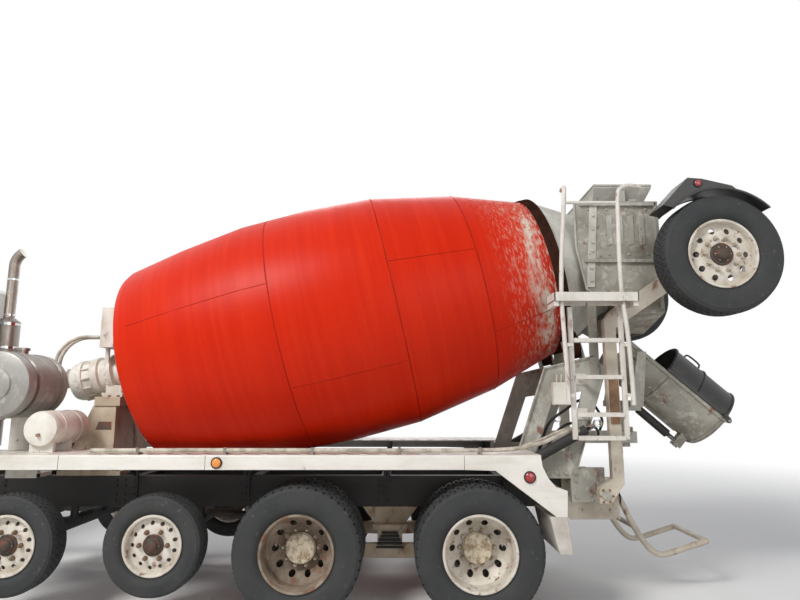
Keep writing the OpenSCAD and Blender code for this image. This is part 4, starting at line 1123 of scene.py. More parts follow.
@dataclass
class Drum:
    """The mixing drum with its track ring, rollers and blades.

    Attributes:
        ring_at: Distance of the track ring along the axis.
        ring_w: Width of the track ring.
        ring_r: Radius of the track ring.
        neck_r: Inner radius of the neck at the ring.
        mouth_at: Distance of the mouth along the axis.
        mouth_r: Radius of the mouth.
        wall: Thickness of the shell.
        profile: Distance and radius pairs of the shell, from the pole to the ring.
        seams: Distances of the round weld seams.
    """

    ring_at: float = 4.17
    ring_w: float = 0.1
    ring_r: float = 0.815
    neck_r: float = 0.768
    mouth_at: float = 4.8
    mouth_r: float = 0.5
    wall: float = 0.01
    profile: tuple[tuple[float, float], ...] = (
        (0.0, 0.0), (0.012, 0.22), (0.055, 0.45), (0.135, 0.7), (0.224, 0.9), (0.25, 0.93), (0.3, 0.958),
        (0.8, 1.062), (1.413, 1.155), (2.06, 1.18), (2.706, 1.156), (3.497, 1.012), (4.17, 0.8))
    seams: tuple[float, ...] = (1.67, 2.706, 3.497)

    @property
    def placing(self) -> Matrix:
        """Turns Z to the drum's axis and sets the origin at its pole."""
        return Matrix.Translation(DRUM_POLE) @ Matrix.Rotation(DRUM_LEAN, 4, "Y")

    def radius(self, along: Array) -> Array:
        """The shell's radius at distances along the axis, between the profile's points."""
        return np.interp(along, *np.array(self.profile).T)

    def shell(self) -> Shell:
        """The shell from the pole to the ring, its head rounded by a smooth curve, one wall thick."""
        section = np.array(self.profile)[:, ::-1]
        outer = np.concatenate([np.clip(smooth_path(section[:7], 4), 0, None), section[7:]])
        inner = outer[outer[:, 1] > 0.5] - np.array([self.wall, 0])
        back = np.concatenate([inner[::-1], [(0.93, 0.3), (0.6, 0.14), (0.2, 0.05), (0.0, 0.04)]])
        return revolve(np.concatenate([outer, back]), 160)

    def neck(self) -> Shell:
        """The cone behind the ring with a rolled lip round the mouth."""
        a, b, r = self.ring_at + self.ring_w + 0.001, self.mouth_at, self.mouth_r
        lip = [(r + 0.004, b - 0.03), (r + 0.011, b - 0.02), (r + 0.011, b - 0.006), (r + 0.004, b), (r - 0.008, b)]
        outer = [(0.798, self.ring_at + 0.001), (0.798, a), (0.78, a), (r + 0.012, b - 0.042)] + lip
        inner = [(r - 0.012, b - 0.012), (self.neck_r, a), (self.neck_r, self.ring_at + 0.001)]
        return revolve(outer + inner, 128, loop=True)

    def seam_bands(self) -> list[Shell]:
        """Round and lengthwise weld seams: a low rounded bead on the shell's surface.

        Returns:
            The beads. A lengthwise one follows r(z) at a fixed angle.
        """
        beads = []
        for z in self.seams:
            r = float(self.radius(z)) - 0.001
            section = [(r, z - 0.007), (r + 0.002, z - 0.004), (r + 0.003, z), (r + 0.002, z + 0.004), (r, z + 0.007)]
            beads.append(revolve(section + [(r - 0.004, z)], 160, loop=True))
        for low, high, degrees in ((0.26, 1.66, 75), (2.72, 3.48, 77), (1.69, 2.69, 121), (3.51, 4.16, 121)):
            for a in np.radians([degrees, degrees + 180]):
                z = np.linspace(low, high, 12)
                beads.append(tube(around_axis(self.radius(z) - 0.0025, a, z), 0.0045, 8))
        return beads

    def hatch(self) -> list[Shell]:
        """The cleaning hatch on the belly: an oval plate on a raised rim, with its bolts.

        A rim's point is at the distance z0 + 0.27 m sin u and the angle a0 + 0.19 cos u, times its size.

        Returns:
            The rim, the plate and the bolts.
        """
        z0, a0 = 2.06, math.radians(206)
        u = np.linspace(0, 2 * math.pi, 40, endpoint=False)
        shells = []
        for size, low, high in ((1.0, -0.004, 0.012), (0.86, 0.01, 0.022)):
            scale = size * np.array([[1.0], [1.0], [0.97]])
            z = z0 + 0.27 * scale * np.sin(u)
            r = self.radius(z) + np.array([[low], [high], [high + 0.003]])
            shells.append(skin(around_axis(r, a0 + 0.19 * scale * np.cos(u), z)))
        for t in np.linspace(0, 2 * math.pi, 16, endpoint=False):
            turn = Matrix.Rotation(a0 + 0.175 * math.cos(t), 4, "Z")
            spot = Matrix.Translation((1.19, 0, z0 + 0.25 * math.sin(t)))
            shells.append(bolt_head(0.011, 0.01).turned(turn @ spot @ TO_FRONT))
        return shells

    def blades(self) -> list[Shell]:
        """Two helical blades behind the mouth.

        A blade is p(s, t) = (q cos(a + w s), q sin(a + w s), z0 + s), with q from the wall inwards by
        t times the blade's height, made one sheet thick along the axis.

        Returns:
            The blades.
        """
        s = np.linspace(0, 1, 60)[:, None]
        z = 3.25 + s * 1.36
        wall = np.where(z < self.ring_at, self.radius(z) - 0.014, np.interp(z, [4.17, 4.27, 4.8], [0.76, 0.76, 0.486]))
        inward, lift = np.array([(0.0, 0.0), (0.5, 0.0), (1.0, 0.0), (1.0, 0.012), (0.5, 0.012), (0.0, 0.012)]).T
        q = wall - inward * np.interp(z, [3.25, 4.3, 4.61], [0.36, 0.24, 0.1])
        return [skin(around_axis(q, start + s * 2 * math.pi * 1.15, z + lift)) for start in (0.0, math.pi)]

    def drive_flange(self) -> list[Shell]:
        """The head's round plate and ring of bolts over the gearbox flange."""
        plate = revolve([(0, -0.02), (0.18, -0.02), (0.18, -0.002), (0.24, 0.012), (0.24, 0.024), (0, 0.024)], 48)
        return [plate, around(bolt_head(0.012, 0.014).moved((0.205, 0, -0.02)), 12)]

    def ring(self) -> Shell:
        """The track ring: a flat band with worn, rounded edges."""
        a, b, r, i = self.ring_at + 0.001, self.ring_at + self.ring_w, self.ring_r, 0.8005
        section = [(i, a), (r - 0.006, a), (r - 0.001, a + 0.006), (r, a + 0.014), (r, b - 0.014),
                   (r - 0.001, b - 0.006), (r - 0.006, b), (i, b)]
        return revolve(section, 160, loop=True)

    def build(self) -> None:
        """Makes the drum's pieces and dresses the rollers."""
        rows = (("shell", [self.shell()], DRUM_RED, "red_paint", ("drum",), 30),
                ("neck", [self.neck()], NECK_WHITE, "red_paint", ("drum",), 35),
                ("seams", self.seam_bands(), DRUM_SEAM, "red_paint", (), 35),
                ("hatch", self.hatch(), DRUM_RED, "red_paint", (), 35),
                ("blades", self.blades(), NECK_WHITE, "red_paint", (), 35),
                ("flange", self.drive_flange(), MACHINE_WHITE, "off_white_paint", (), 35),
                ("track_ring", [self.ring()], TRACK_STEEL, "track_steel", ("track_ring",), 35))
        for label, shells, finish, slot, replaced, sharp in rows:
            piece(f"drum_{label}", [join(shells).turned(self.placing)], finish, "drum", sharp=sharp,
                  stands_for=replaced)
        for name in SIDE_NAMES.values():
            refined(f"roller_{name}", TRACK_STEEL, 0.006)


# Drum drive and pedestal


@dataclass
class DrumDrive:
    """The front pedestal, and the gearbox, motor, oil cooler and hoses on it.

    Attributes:
        drum: The drum, whose frame the gearbox shares.
        hose_r: Radius of a hose.
        hose_sides: Name and side distance of each hose.
        hose_x: Station at which the hoses leave the motor's port block.
        port_z: Top of the port block.
        cooler: Rear, half-width, low and high of the oil cooler.
        cooler_front: Station of the cooler's front face.
    """

    drum: Drum
    hose_r: float = 0.016
    hose_sides: tuple[tuple[str, float], ...] = (("hose_outer", 0.195), ("hose_inner", 0.12))
    hose_x: float = 3.3
    port_z: float = 1.92
    cooler: tuple[float, float, float, float] = (2.7, 0.3, 2.21, 2.6)
    cooler_front: float = 2.83

    def gearbox(self) -> None:
        """The gearbox in three stages with its flanges, ribs and bolts, and the motor with its ports."""
        stages = revolve([(0, -0.592), (0.12, -0.592), (0.12, -0.585), (0.168, -0.58), (0.185, -0.545), (0.185, -0.5),
                          (0.2, -0.495), (0.2, -0.455), (0.178, -0.45), (0.178, -0.37), (0.2, -0.365), (0.2, -0.3),
                          (0.172, -0.29), (0.172, -0.22), (0.198, -0.21), (0.198, -0.165), (0.14, -0.16),
                          (0.14, -0.062), (0.2, -0.061), (0.2, -0.022), (0, -0.022)], 64)
        rings = [around(bolt_head(0.011, 0.012).turned(Matrix.Rotation(math.pi, 4, "X")).moved((r, 0, z)), n)
                 for r, z, n in ((0.19, -0.495, 20), (0.19, -0.365, 16), (0.189, -0.21, 24))]
        ribs = [around(brick((0.16, -0.006, -0.45), (0.196, 0.006, -0.37)), 12)]
        # The foot on the pedestal, with its two webs
        foot = [slab(2.625, 2.83, -0.18, 0.18, 1.7353, 1.775), slab(2.65, 2.805, -0.15, 0.15, 1.774, 1.85)]
        turned = join([stages] + rings + ribs).turned(self.drum.placing)
        piece("gearbox", [turned] + foot, MACHINE_WHITE, stands_for=("drum_drive",))
        motor = revolve([(0, -0.9), (0.05, -0.9), (0.056, -0.895), (0.056, -0.875), (0.086, -0.87), (0.09, -0.86),
                         (0.09, -0.68), (0.078, -0.67), (0.078, -0.61), (0.09, -0.605), (0.09, -0.59), (0, -0.59)], 48)
        flange = brick((-0.085, -0.085, -0.625), (0.085, 0.085, -0.6))
        cover = brick((-0.06, -0.095, -0.82), (0.06, 0.095, -0.7))
        x, z = self.hose_x, self.port_z
        port = [slab(x - 0.035, x + 0.035, 0.06, 0.23, z - 0.06, z - 0.02)]
        port += [rod(station(x, y, z - 0.03), station(x, y, z - 0.001), 0.024, 6) for _, y in self.hose_sides]
        turned = join([motor, flange, cover]).moved((0.06, 0, 0)).turned(self.drum.placing)
        piece("hydraulic_motor", [turned] + port, MACHINE_WHITE, bevel=0.003,
              stands_for=("drum_drive",))

    def oil_cooler(self) -> None:
        """The cooler: a finned core between end tanks, a fan in its shroud, and its legs."""
        x0, half, z0, z1 = self.cooler
        x1 = self.cooler_front
        parts = [slab(x0, x1, side * half, side * (half - 0.05), z0, z1) for side in SIDES]
        parts += [slab(x0, x1, -half + 0.05, half - 0.05, z, z + 0.03) for z in (z0, z1 - 0.03)]
        parts += [slab(x1 - 0.04, x1 - 0.002, side * 0.15, side * 0.175, 2.0, z0 + 0.001) for side in SIDES]
        parts += [bolts([station(x1 - 0.001, side * (half - 0.02), z) for z in np.linspace(z0 + 0.04, z1 - 0.04, 6)],
                        (1, 0, 0), 0.007) for side in SIDES]
        piece("oil_cooler_frame", parts, MACHINE_WHITE, bevel=0.004,
              stands_for=("drum_drive",))
        fin = slab(x0 + 0.02, x1 - 0.03, -half + 0.052, half - 0.052, -0.0012, 0.0012)
        fins = copies(fin, [(0, 0, z) for z in np.linspace(z0 + 0.036, z1 - 0.036, 44)])
        core = slab(x0 + 0.035, x1 - 0.045, -half + 0.05, half - 0.05, z0 + 0.03, z1 - 0.03)
        piece("oil_cooler_core", [fins, core], HUB_DARK)
        shroud = revolve([(0.15, 0), (0.163, 0), (0.163, 0.028), (0.156, 0.03), (0.15, 0.028)], 64, loop=True)
        guard = [band(r, 0.004, 0.022, 0.026, 48) for r in (0.03, 0.06, 0.09, 0.12)]
        spoke = around(brick((0.03, -0.003, 0.018), (0.153, 0.003, 0.023)), 8)
        vane = around(prism([(-0.012, 0.0), (0.03, 0.016), (0.034, 0.013), (-0.008, -0.003)], 0.03, 0.14, 0), 7)
        hub = revolve([(0, 0), (0.034, 0), (0.034, 0.018), (0.028, 0.022), (0, 0.022)], 32)
        fan = join([shroud, spoke, vane, hub] + guard).turned(TO_FRONT).moved(station(x1 - 0.03, 0, (z0 + z1) / 2))
        piece("oil_cooler_fan", [fan], BLACK_PLASTIC)

    def hoses(self) -> None:
        """The two hydraulic hoses, each a smooth tube along its route with a ferrule at both ends."""
        x0, z0, x1 = self.hose_x, self.port_z + 0.0003, self.cooler_front + 0.0003
        a = np.radians(np.arange(0, 91, 7.5))
        arc = np.stack([3.02 + 0.28 * np.cos(a), 2.04 + 0.28 * np.sin(a)], axis=1)
        low = np.stack([np.full(4, x0), np.linspace(z0, 2.02, 4)], axis=1)
        high = np.stack([np.linspace(3.0, x1, 5), np.full(5, 2.32)], axis=1)
        flat = np.concatenate([low, arc, high])
        for name, y in self.hose_sides:
            path = stations(np.insert(flat, 1, y, axis=1))
            hose = piece(name + "_tube", [tube(path, self.hose_r, 16)], HOSE_WHITE,
                         stands_for=(name,))
            ends = []
            for at, to in ((path[0], path[1]), (path[-1], path[-2])):
                way = (to - at) / np.linalg.norm(to - at)
                ends.append(rod(at - way * 0.0002, at + way * 0.045, 0.0205, 16))
                ends.append(rod(at - way * 0.0002, at + way * 0.016, 0.025, 6))
            ferrules = piece(name + "_ferrules", ends, STACK_STEEL)

    def pedestal(self) -> None:
        """The pedestal with bolts along its base and its cap, and a dark panel on its side that is painted shade for
        its hand hole.
        """
        refined("front_pedestal", PEDESTAL_BEIGE, 0.005)
        spots = [station(x, 0.415, 1.06) for x in (2.51, 3.045)]
        spots += [station(x, 0.235, 1.735) for x in (2.64, 2.725, 2.81)]
        piece("pedestal_bolts", both([bolts(spots, (0, 0, 1), 0.014)]), NUT_RUST)
        # The side leans in by 0.166 m over 0.588 m of height, and the panel lies on it
        corners = np.array([(2.64, 1.428), (2.79, 1.428), (2.775, 1.501), (2.655, 1.501)])
        y = 0.426 - (corners[:, 1] - 1.06) * 0.166 / 0.588
        grid = stations(np.stack([np.insert(corners, 1, y + lift, axis=1) for lift in (0.0012, -0.004)]))
        # The dark panel is painted shade: it stands for the shade inside the hand hole's opening
        piece("pedestal_hand_hole_shade", both([skin(grid)]), HUB_DARK)

    def build(self) -> None:
        """Makes the pedestal and everything on it."""
        self.hoses()
        self.gearbox()
        self.oil_cooler()
        self.pedestal()


# Water tanks, decks and what hangs on them


def lamp(name: str, spot: Triple, normal: Triple, radius: float, finish: Finish,
         body: str = "chassis") -> None:
    """A round lamp: a domed lens in a dark bezel, standing on a face.

    Args:
        name: The lamp's name.
        spot: Its middle on the face.
        normal: Direction in which it faces.
        radius: Radius of the lens.
        finish: The lens's finish.
        body: The body that it rides on.
    """
    turn = Matrix.Translation(spot) @ facing(normal)
    lens = [(0, 0.002), (radius, 0.002), (radius, 0.008), (radius * 0.9, 0.014), (radius * 0.6, 0.019),
            (radius * 0.3, 0.021), (0, 0.0215)]
    bezel = [(radius - 0.002, 0), (radius + 0.008, 0), (radius + 0.008, 0.007), (radius + 0.003, 0.012),
             (radius - 0.002, 0.012)]
    piece(name + "_lens", [revolve(lens, 40).turned(turn)], finish, body, sharp=60)
    piece(name + "_bezel", [revolve(bezel, 40, loop=True).turned(turn)], TRIM_RUBBER, body)


@dataclass
class WaterTanks:
    """The large water tank and the small white tank on their stands.

    Attributes:
        large: Station, inner side, height, radius and length of the large tank.
        small: The same of the small tank.
    """

    large: tuple[float, ...] = (3.27, 0.48, 1.83, 0.28, 0.62)
    small: tuple[float, ...] = (2.9, 0.48, 1.465, 0.147, 0.56)

    def build(self) -> None:
        """Makes both tanks, their straps and caps, and the stands under them."""
        x, y, z, r, length = self.large
        place = Matrix.Translation(station(x, y, z)) @ TO_LEFT
        end = [(r, 0.02), (r, length - 0.03), (r - 0.006, length - 0.016), (r - 0.022, length - 0.008),
               (0.135, length - 0.004), (0.128, length + 0.008), (0.118, length + 0.011), (0.03, length + 0.012),
               (0, length + 0.012)]
        body = revolve([(0, 0), (0.12, 0.0), (r - 0.02, 0.006)] + end, 96).turned(place)
        plug = revolve([(0, 0), (0.02, 0), (0.02, 0.012), (0.012, 0.016), (0, 0.016)], 6)
        plug = plug.turned(TO_LEFT).moved(station(x + 0.06, y + length, z + 0.2))
        piece("water_tank", [body, plug], TANK_ALLOY, stands_for=("water_tanks",))
        bands = [band(r, 0.004, at, at + 0.045, 96).turned(place) for at in (0.09, 0.46)]
        lugs = [slab(x - 0.02, x + 0.02, y + at + 0.008, y + at + 0.037, z - r - 0.012, z - r + 0.002)
                for at in (0.09, 0.46)]
        neck = revolve([(0, 0), (0.05, 0), (0.05, 0.03), (0.062, 0.03), (0.062, 0.052), (0, 0.058)], 32)
        neck = neck.moved(station(x, y + 0.3, z + r - 0.004))
        piece("water_tank_straps", bands + lugs + [neck], STACK_STEEL)
        stand = [slab(3.13, 3.41, 0.56, 0.62, 1.0203, 1.64), slab(3.13, 3.41, 0.38, 0.621, 1.0203, 1.06),
                 plate([(3.12, 1.6), (3.42, 1.6), (3.5, 1.68), (3.04, 1.68)], 0.55, 0.63)]
        piece("water_tank_stand", stand, RAIL_WHITE, bevel=0.004, stands_for=("water_tanks",))
        x, y, z, r, length = self.small
        place = Matrix.Translation(station(x, y, z)) @ TO_LEFT
        shell = [(0, 0), (r * 0.6, 0.002), (r - 0.01, 0.012), (r, 0.03), (r, length - 0.035),
                 (r - 0.01, length - 0.014), (r * 0.62, length - 0.003), (r * 0.5, length - 0.001), (0, length)]
        piece("small_tank", [revolve(shell, 72).turned(place)], MACHINE_WHITE,
              stands_for=("water_tanks",))
        bands = [band(r, 0.004, at, at + 0.035, 72).turned(place) for at in (0.13, 0.38)]
        valve = [rod(station(x, y + length - 0.001, z - 0.05), station(x, y + length + 0.02, z - 0.05), 0.016, 6)]
        piece("small_tank_bands", bands, MACHINE_WHITE)
        piece("small_tank_valve", valve, LIFT_RUST)
        feet = [slab(2.8, 3.0, at, at + 0.04, 1.2703, 1.36) for at in (0.69, 0.95)]
        piece("small_tank_feet", feet, RAIL_WHITE, bevel=0.004, stands_for=("water_tanks",))


@dataclass
class Decks:
    """The fender decks along both sides with their lamps, pipes and mud flaps.

    Attributes:
        inner: Inner side of a deck.
        outer: Outer face of a deck.
        top: Height of the deck.
        low: Lower edge of the deck's face.
        rear: Station of the deck's rear end.
        front: Station of its front end.
    """

    inner: float = 0.65
    outer: float = 1.22
    top: float = 1.27
    low: float = 1.156
    rear: float = -1.21
    front: float = 3.8

    def lamps(self) -> None:
        """Side markers and tail lamps."""
        for side, name in SIDE_NAMES.items():
            for label, x, z, radius, finish in (("amber", 1.363, 1.21, 0.037, LAMP_AMBER),
                                                ("front", 3.66, 1.21, 0.037, LAMP_AMBER),
                                                ("red", -1.115, 1.1, 0.04, LAMP_RED)):
                lamp(f"marker_{label}_{name}", station(x, side * self.outer, z), (0, side, 0), radius, finish)
            for k, finish in enumerate((LAMP_RED, LAMP_RED, LAMP_CLEAR)):
                lamp(f"tail_{name}_{k}", station(-2.08, side * (0.2 + 0.11 * k), 0.82), (-1, 0, 0), 0.045,
                          finish)

    def trim(self) -> None:
        """Joints and rivets of the decks, and the ribs of their tops."""
        y, top = self.outer, self.top
        joints = [slab(x - 0.0015, x + 0.0015, y, y + 0.0012, self.low, top - 0.004) for x in (1.455, -0.6, 2.62)]
        spots = [station(x, y, z) for x in np.arange(-1.1, 3.75, 0.3) for z in (1.172, 1.256)]
        rivet = revolve([(0, 0), (0.006, 0), (0.005, 0.002), (0.002, 0.003), (0, 0.003)], 10)
        # No ribs where the small tank stands, nor on the rear end
        ribs = [slab(x, x + 0.05, 0.7, 1.16, top - 0.001, top + 0.003) for x in np.arange(-1.1, 3.75, 0.16)
                if x > -0.95 and not 2.75 < x < 3.05]
        left = [copies(rivet.turned(facing((0, 1, 0))), spots)] + ribs
        piece("deck_ribs", both(left), FENDER_WHITE)
        piece("deck_joints", both(joints), TRIM_RUBBER)

    def pipes(self) -> None:
        """The pale conduits that run along the left deck with their clamps, up to the rear tower."""
        pipes, clamps = [], []
        for k, (y, z) in enumerate(((1.16, 1.302), (1.115, 1.297))):
            rise = [(2.4, y, z), (1.2, y + 0.004, z + 0.002), (0.2, y, z), (-0.6, y - 0.004, z),
                    (-1.0, y - 0.02, z + 0.01), (-1.25, y - 0.06, 1.36 + 0.02 * k),
                    (-1.42, y - 0.14, 1.42 + 0.02 * k), (-1.58, y - 0.25, 1.46), (-1.68, 0.66, 1.42 - 0.03 * k)]
            pipes.append(bent(rise, 6, 0.017 - 0.004 * k, 12))
        for x in (2.0, 1.3, 0.6, -0.1, -0.75):
            clamps += [slab(x, x + 0.03, 1.09, 1.19, self.top - 0.001, self.top + 0.008),
                       slab(x + 0.004, x + 0.026, 1.137, 1.183, self.top, 1.326),
                       bolts([station(x + 0.015, 1.1, self.top + 0.008)], (0, 0, 1), 0.007)]
        piece("deck_pipes", pipes, HOSE_WHITE)
        piece("deck_clamps", clamps, STACK_STEEL, bevel=0.002)

    def sheets(self) -> None:
        """The white deck sheets with their bent outer edge and the shaped tails of their faces."""
        bend = np.radians(np.linspace(90, 0, 6))
        corner = [(self.outer - 0.012 + 0.012 * math.cos(t), self.top - 0.012 + 0.012 * math.sin(t)) for t in bend]
        section = [(self.inner, self.top - 0.012), (self.inner, self.top)] + corner
        section += [(self.outer, self.low), (self.outer - 0.012, self.low), (self.outer - 0.012, self.top - 0.012)]
        sheet = prism(section, station(self.rear)[0], station(self.front)[0], 0)
        # The tails lie a hair inside the sheet's faces, so that they don't flicker with them
        tail = plate([(-0.6, self.low), (-0.6, 1.258), (-1.209, 1.258), (-1.22, 1.18), (-1.265, 1.087),
                      (-1.318, 1.027), (-1.41, 0.996), (-1.4, 0.8), (-1.315, 0.8), (-0.848, 1.149)],
                     self.outer - 0.0118, self.outer - 0.0002)
        edge = [station(x, self.outer - 0.009, z) for x, z in ((-0.85, 1.151), (-1.316, 0.803), (-1.396, 0.803))]
        piece("deck_sheets", both([sheet, tail, tube(edge, 0.005, 8)]), FENDER_WHITE,
              bevel=0.002, stands_for=("fender_decks",))

    def brackets(self) -> None:
        """The black hangers between the rails and the decks: a foot, an arm with folded edges, and a gusset."""
        left = []
        for x in (-1.085, 0.0, 1.28, 2.3, 3.7):
            left += [slab(x, x + 0.06, RAIL_Y, 0.45, 0.83, 1.19), slab(x, x + 0.06, RAIL_Y, 1.2077, 1.15, 1.158),
                     slab(x, x + 0.06, 0.652, 1.2077, 1.25, 1.2577), slab(x, x + 0.008, RAIL_Y, 1.2077, 1.155, 1.19),
                     slab(x, x + 0.008, 0.652, 1.2077, 1.185, 1.255),
                     prism([(0.45, 1.02), (0.45, 1.152), (0.7, 1.152)],
                           station(x + 0.026)[0], station(x + 0.034)[0], 0),
                     bolts([station(x + 0.03, 0.45, z) for z in (0.86, 0.92, 0.98)], (0, 1, 0), 0.011)]
        piece("deck_brackets", both(left), CHASSIS_BLACK_AND_SHADE, bevel=0.002,
              stands_for=("fender_decks",))

    def flaps(self) -> None:
        """The mud flaps behind the drive wheels, with their carriers and bolted strips."""
        carrier = slab(-1.4, -1.388, self.inner, self.outer - 0.0125, 0.8, 0.999)
        flap = plate([(-1.3995, 0.801), (-1.26, 0.801), (-1.268, 0.77), (-1.3, 0.62), (-1.33, 0.521),
                      (-1.43, 0.521), (-1.418, 0.66)], self.inner, self.outer - 0.0005)
        piece("mud_flaps", both([carrier, flap]), FLAP_WHITE, bevel=0.008,
              stands_for=("fender_decks",))
        strip = [slab(-1.4035, -1.4, 0.655, 1.2, 0.86, 0.9),
                 bolts([station(-1.4035, y, 0.88) for y in np.linspace(0.7, 1.17, 5)], (-1, 0, 0), 0.009)]
        piece("flap_strips", both(strip), STACK_STEEL)

    def build(self) -> None:
        """Makes the decks and what hangs on them."""
        self.sheets()
        self.brackets()
        self.flaps()
        self.lamps()
        self.trim()
        self.pipes()


# Rear end: tower, hopper, collector, ladder, guard

# A hair outside the tower's plates, on which the ladder's stays and the valve box stand
TOWER_FACE = 0.6303


@dataclass
class Ladder:
    """The service ladder with its platform and hand rails, on the left of the rear tower.

    Attributes:
        y: Middle of the ladder.
        rails: Stations of its two rails.
        foot: Height of the rails' feet.
        platform: Rear, front, inner, outer, low and top of the platform.
        rungs: Heights of the rungs.
        pipe_r: Radius of the hand rails.
    """

    y: float = 1.04
    rails: tuple[float, float] = (-1.97, -1.54)
    foot: float = 1.38
    platform: tuple[float, ...] = (-2.1, -1.39, 0.87, 1.15, 2.485, 2.6)
    rungs: tuple[float, ...] = (1.39, 1.58, 1.89, 2.2)
    pipe_r: float = 0.019

    def frame_shells(self) -> list[Shell]:
        """Rails, stepped rungs with folded edges, and the stays to the tower."""
        shells = [slab(x - 0.02, x + 0.02, self.y - 0.013, self.y + 0.013, self.foot, 2.486) for x in self.rails]
        a, b = self.rails
        # A tread's section about its middle: a flat top with both edges folded down
        tread = np.array([(0.03, 0.018), (0.03, -0.016), (0.024, -0.016), (0.024, 0.012), (-0.024, 0.012),
                          (-0.024, -0.016), (-0.03, -0.016), (-0.03, 0.018)])
        for z in self.rungs:
            shells.append(prism(tread + [self.y, z], station(a + 0.02)[0], station(b - 0.02)[0], 0))
            tooth = slab(0, 0.012, self.y - 0.024, self.y + 0.024, z + 0.0175, z + 0.0205)
            shells.append(copies(tooth, [(x, 0, 0) for x in np.arange(a + 0.05, b - 0.04, 0.028)]))
        for z in self.rungs[1:3]:
            shells += [slab(-1.735, -1.705, TOWER_FACE, self.y - 0.02, z - 0.016, z + 0.012),
                       slab(-1.78, -1.66, TOWER_FACE, 0.638, z - 0.05, z + 0.05)]
        return shells

    def platform_shells(self) -> list[Shell]:
        """The platform: a frame of flat bar with a grating of bearing bars and cross rods."""
        x0, x1, y0, y1, z0, z1 = self.platform
        low = z1 - 0.075
        frame_bars = [slab(x0, x1, y, y + 0.008, low, z1) for y in (y0, y1 - 0.008)]
        frame_bars += [slab(x, x + 0.008, y0, y1, low, z1) for x in (x0, x1 - 0.008)]
        frame_bars += [slab(x, x + 0.04, y0 + 0.02, y1 - 0.02, z0, low + 0.01) for x in (x0, x1 - 0.04)]
        bar = slab(x0 + 0.006, x1 - 0.006, -0.002, 0.002, z1 - 0.03, z1 - 0.001)
        cross = rod(station(0, y0 + 0.006, z1 - 0.006), station(0, y1 - 0.006, z1 - 0.006), 0.0035, 6)
        return frame_bars + [copies(bar, [(0, y, 0) for y in np.arange(y0 + 0.03, y1 - 0.01, 0.028)]),
                             copies(cross, [(x, 0, 0) for x in np.arange(x0 + 0.06, x1 - 0.02, 0.075)])]

    def rail_shells(self) -> list[Shell]:
        """The bent hand rails from the ladder's middle up over the platform, and the bar between them."""
        front = [(-1.485, 1.1, 1.7), (-1.478, 1.1, 2.0), (-1.468, 1.1, 2.3), (-1.46, 1.105, 2.56),
                 (-1.475, 1.108, 2.9), (-1.5, 1.108, 3.2), (-1.52, 1.105, 3.44), (-1.53, 1.085, 3.535),
                 (-1.535, 1.03, 3.56), (-1.54, 0.96, 3.56)]
        rear = [(-2.02, 1.1, 1.66), (-2.015, 1.1, 2.0), (-2.0, 1.104, 2.3), (-1.975, 1.108, 2.56),
                (-1.97, 1.11, 2.9), (-1.98, 1.11, 3.25), (-1.99, 1.105, 3.46), (-2.02, 1.098, 3.53),
                (-2.09, 1.09, 3.56), (-2.2, 1.08, 3.55)]
        shells = [bent(points, 5, self.pipe_r, 14) for points in (front, rear)]
        shells.append(rod(station(-1.516, 1.104, 3.4), station(-1.986, 1.104, 3.4), 0.014, 12))
        return shells + [slab(x0, x1, 1.05, 1.106, z - 0.014, z + 0.014)
                         for z in (1.74, 2.16) for x0, x1 in ((-1.484, -1.535), (-2.018, -1.975))]

    def build(self) -> None:
        """Makes the ladder, its platform and its rails."""
        for label, shells, bevel in (("frame", self.frame_shells(), 0.002), ("platform", self.platform_shells(), 0.0),
                                     ("rails", self.rail_shells(), 0.0)):
            piece(f"ladder_{label}", shells, RAIL_WHITE, bevel=bevel, stands_for=("ladder",))


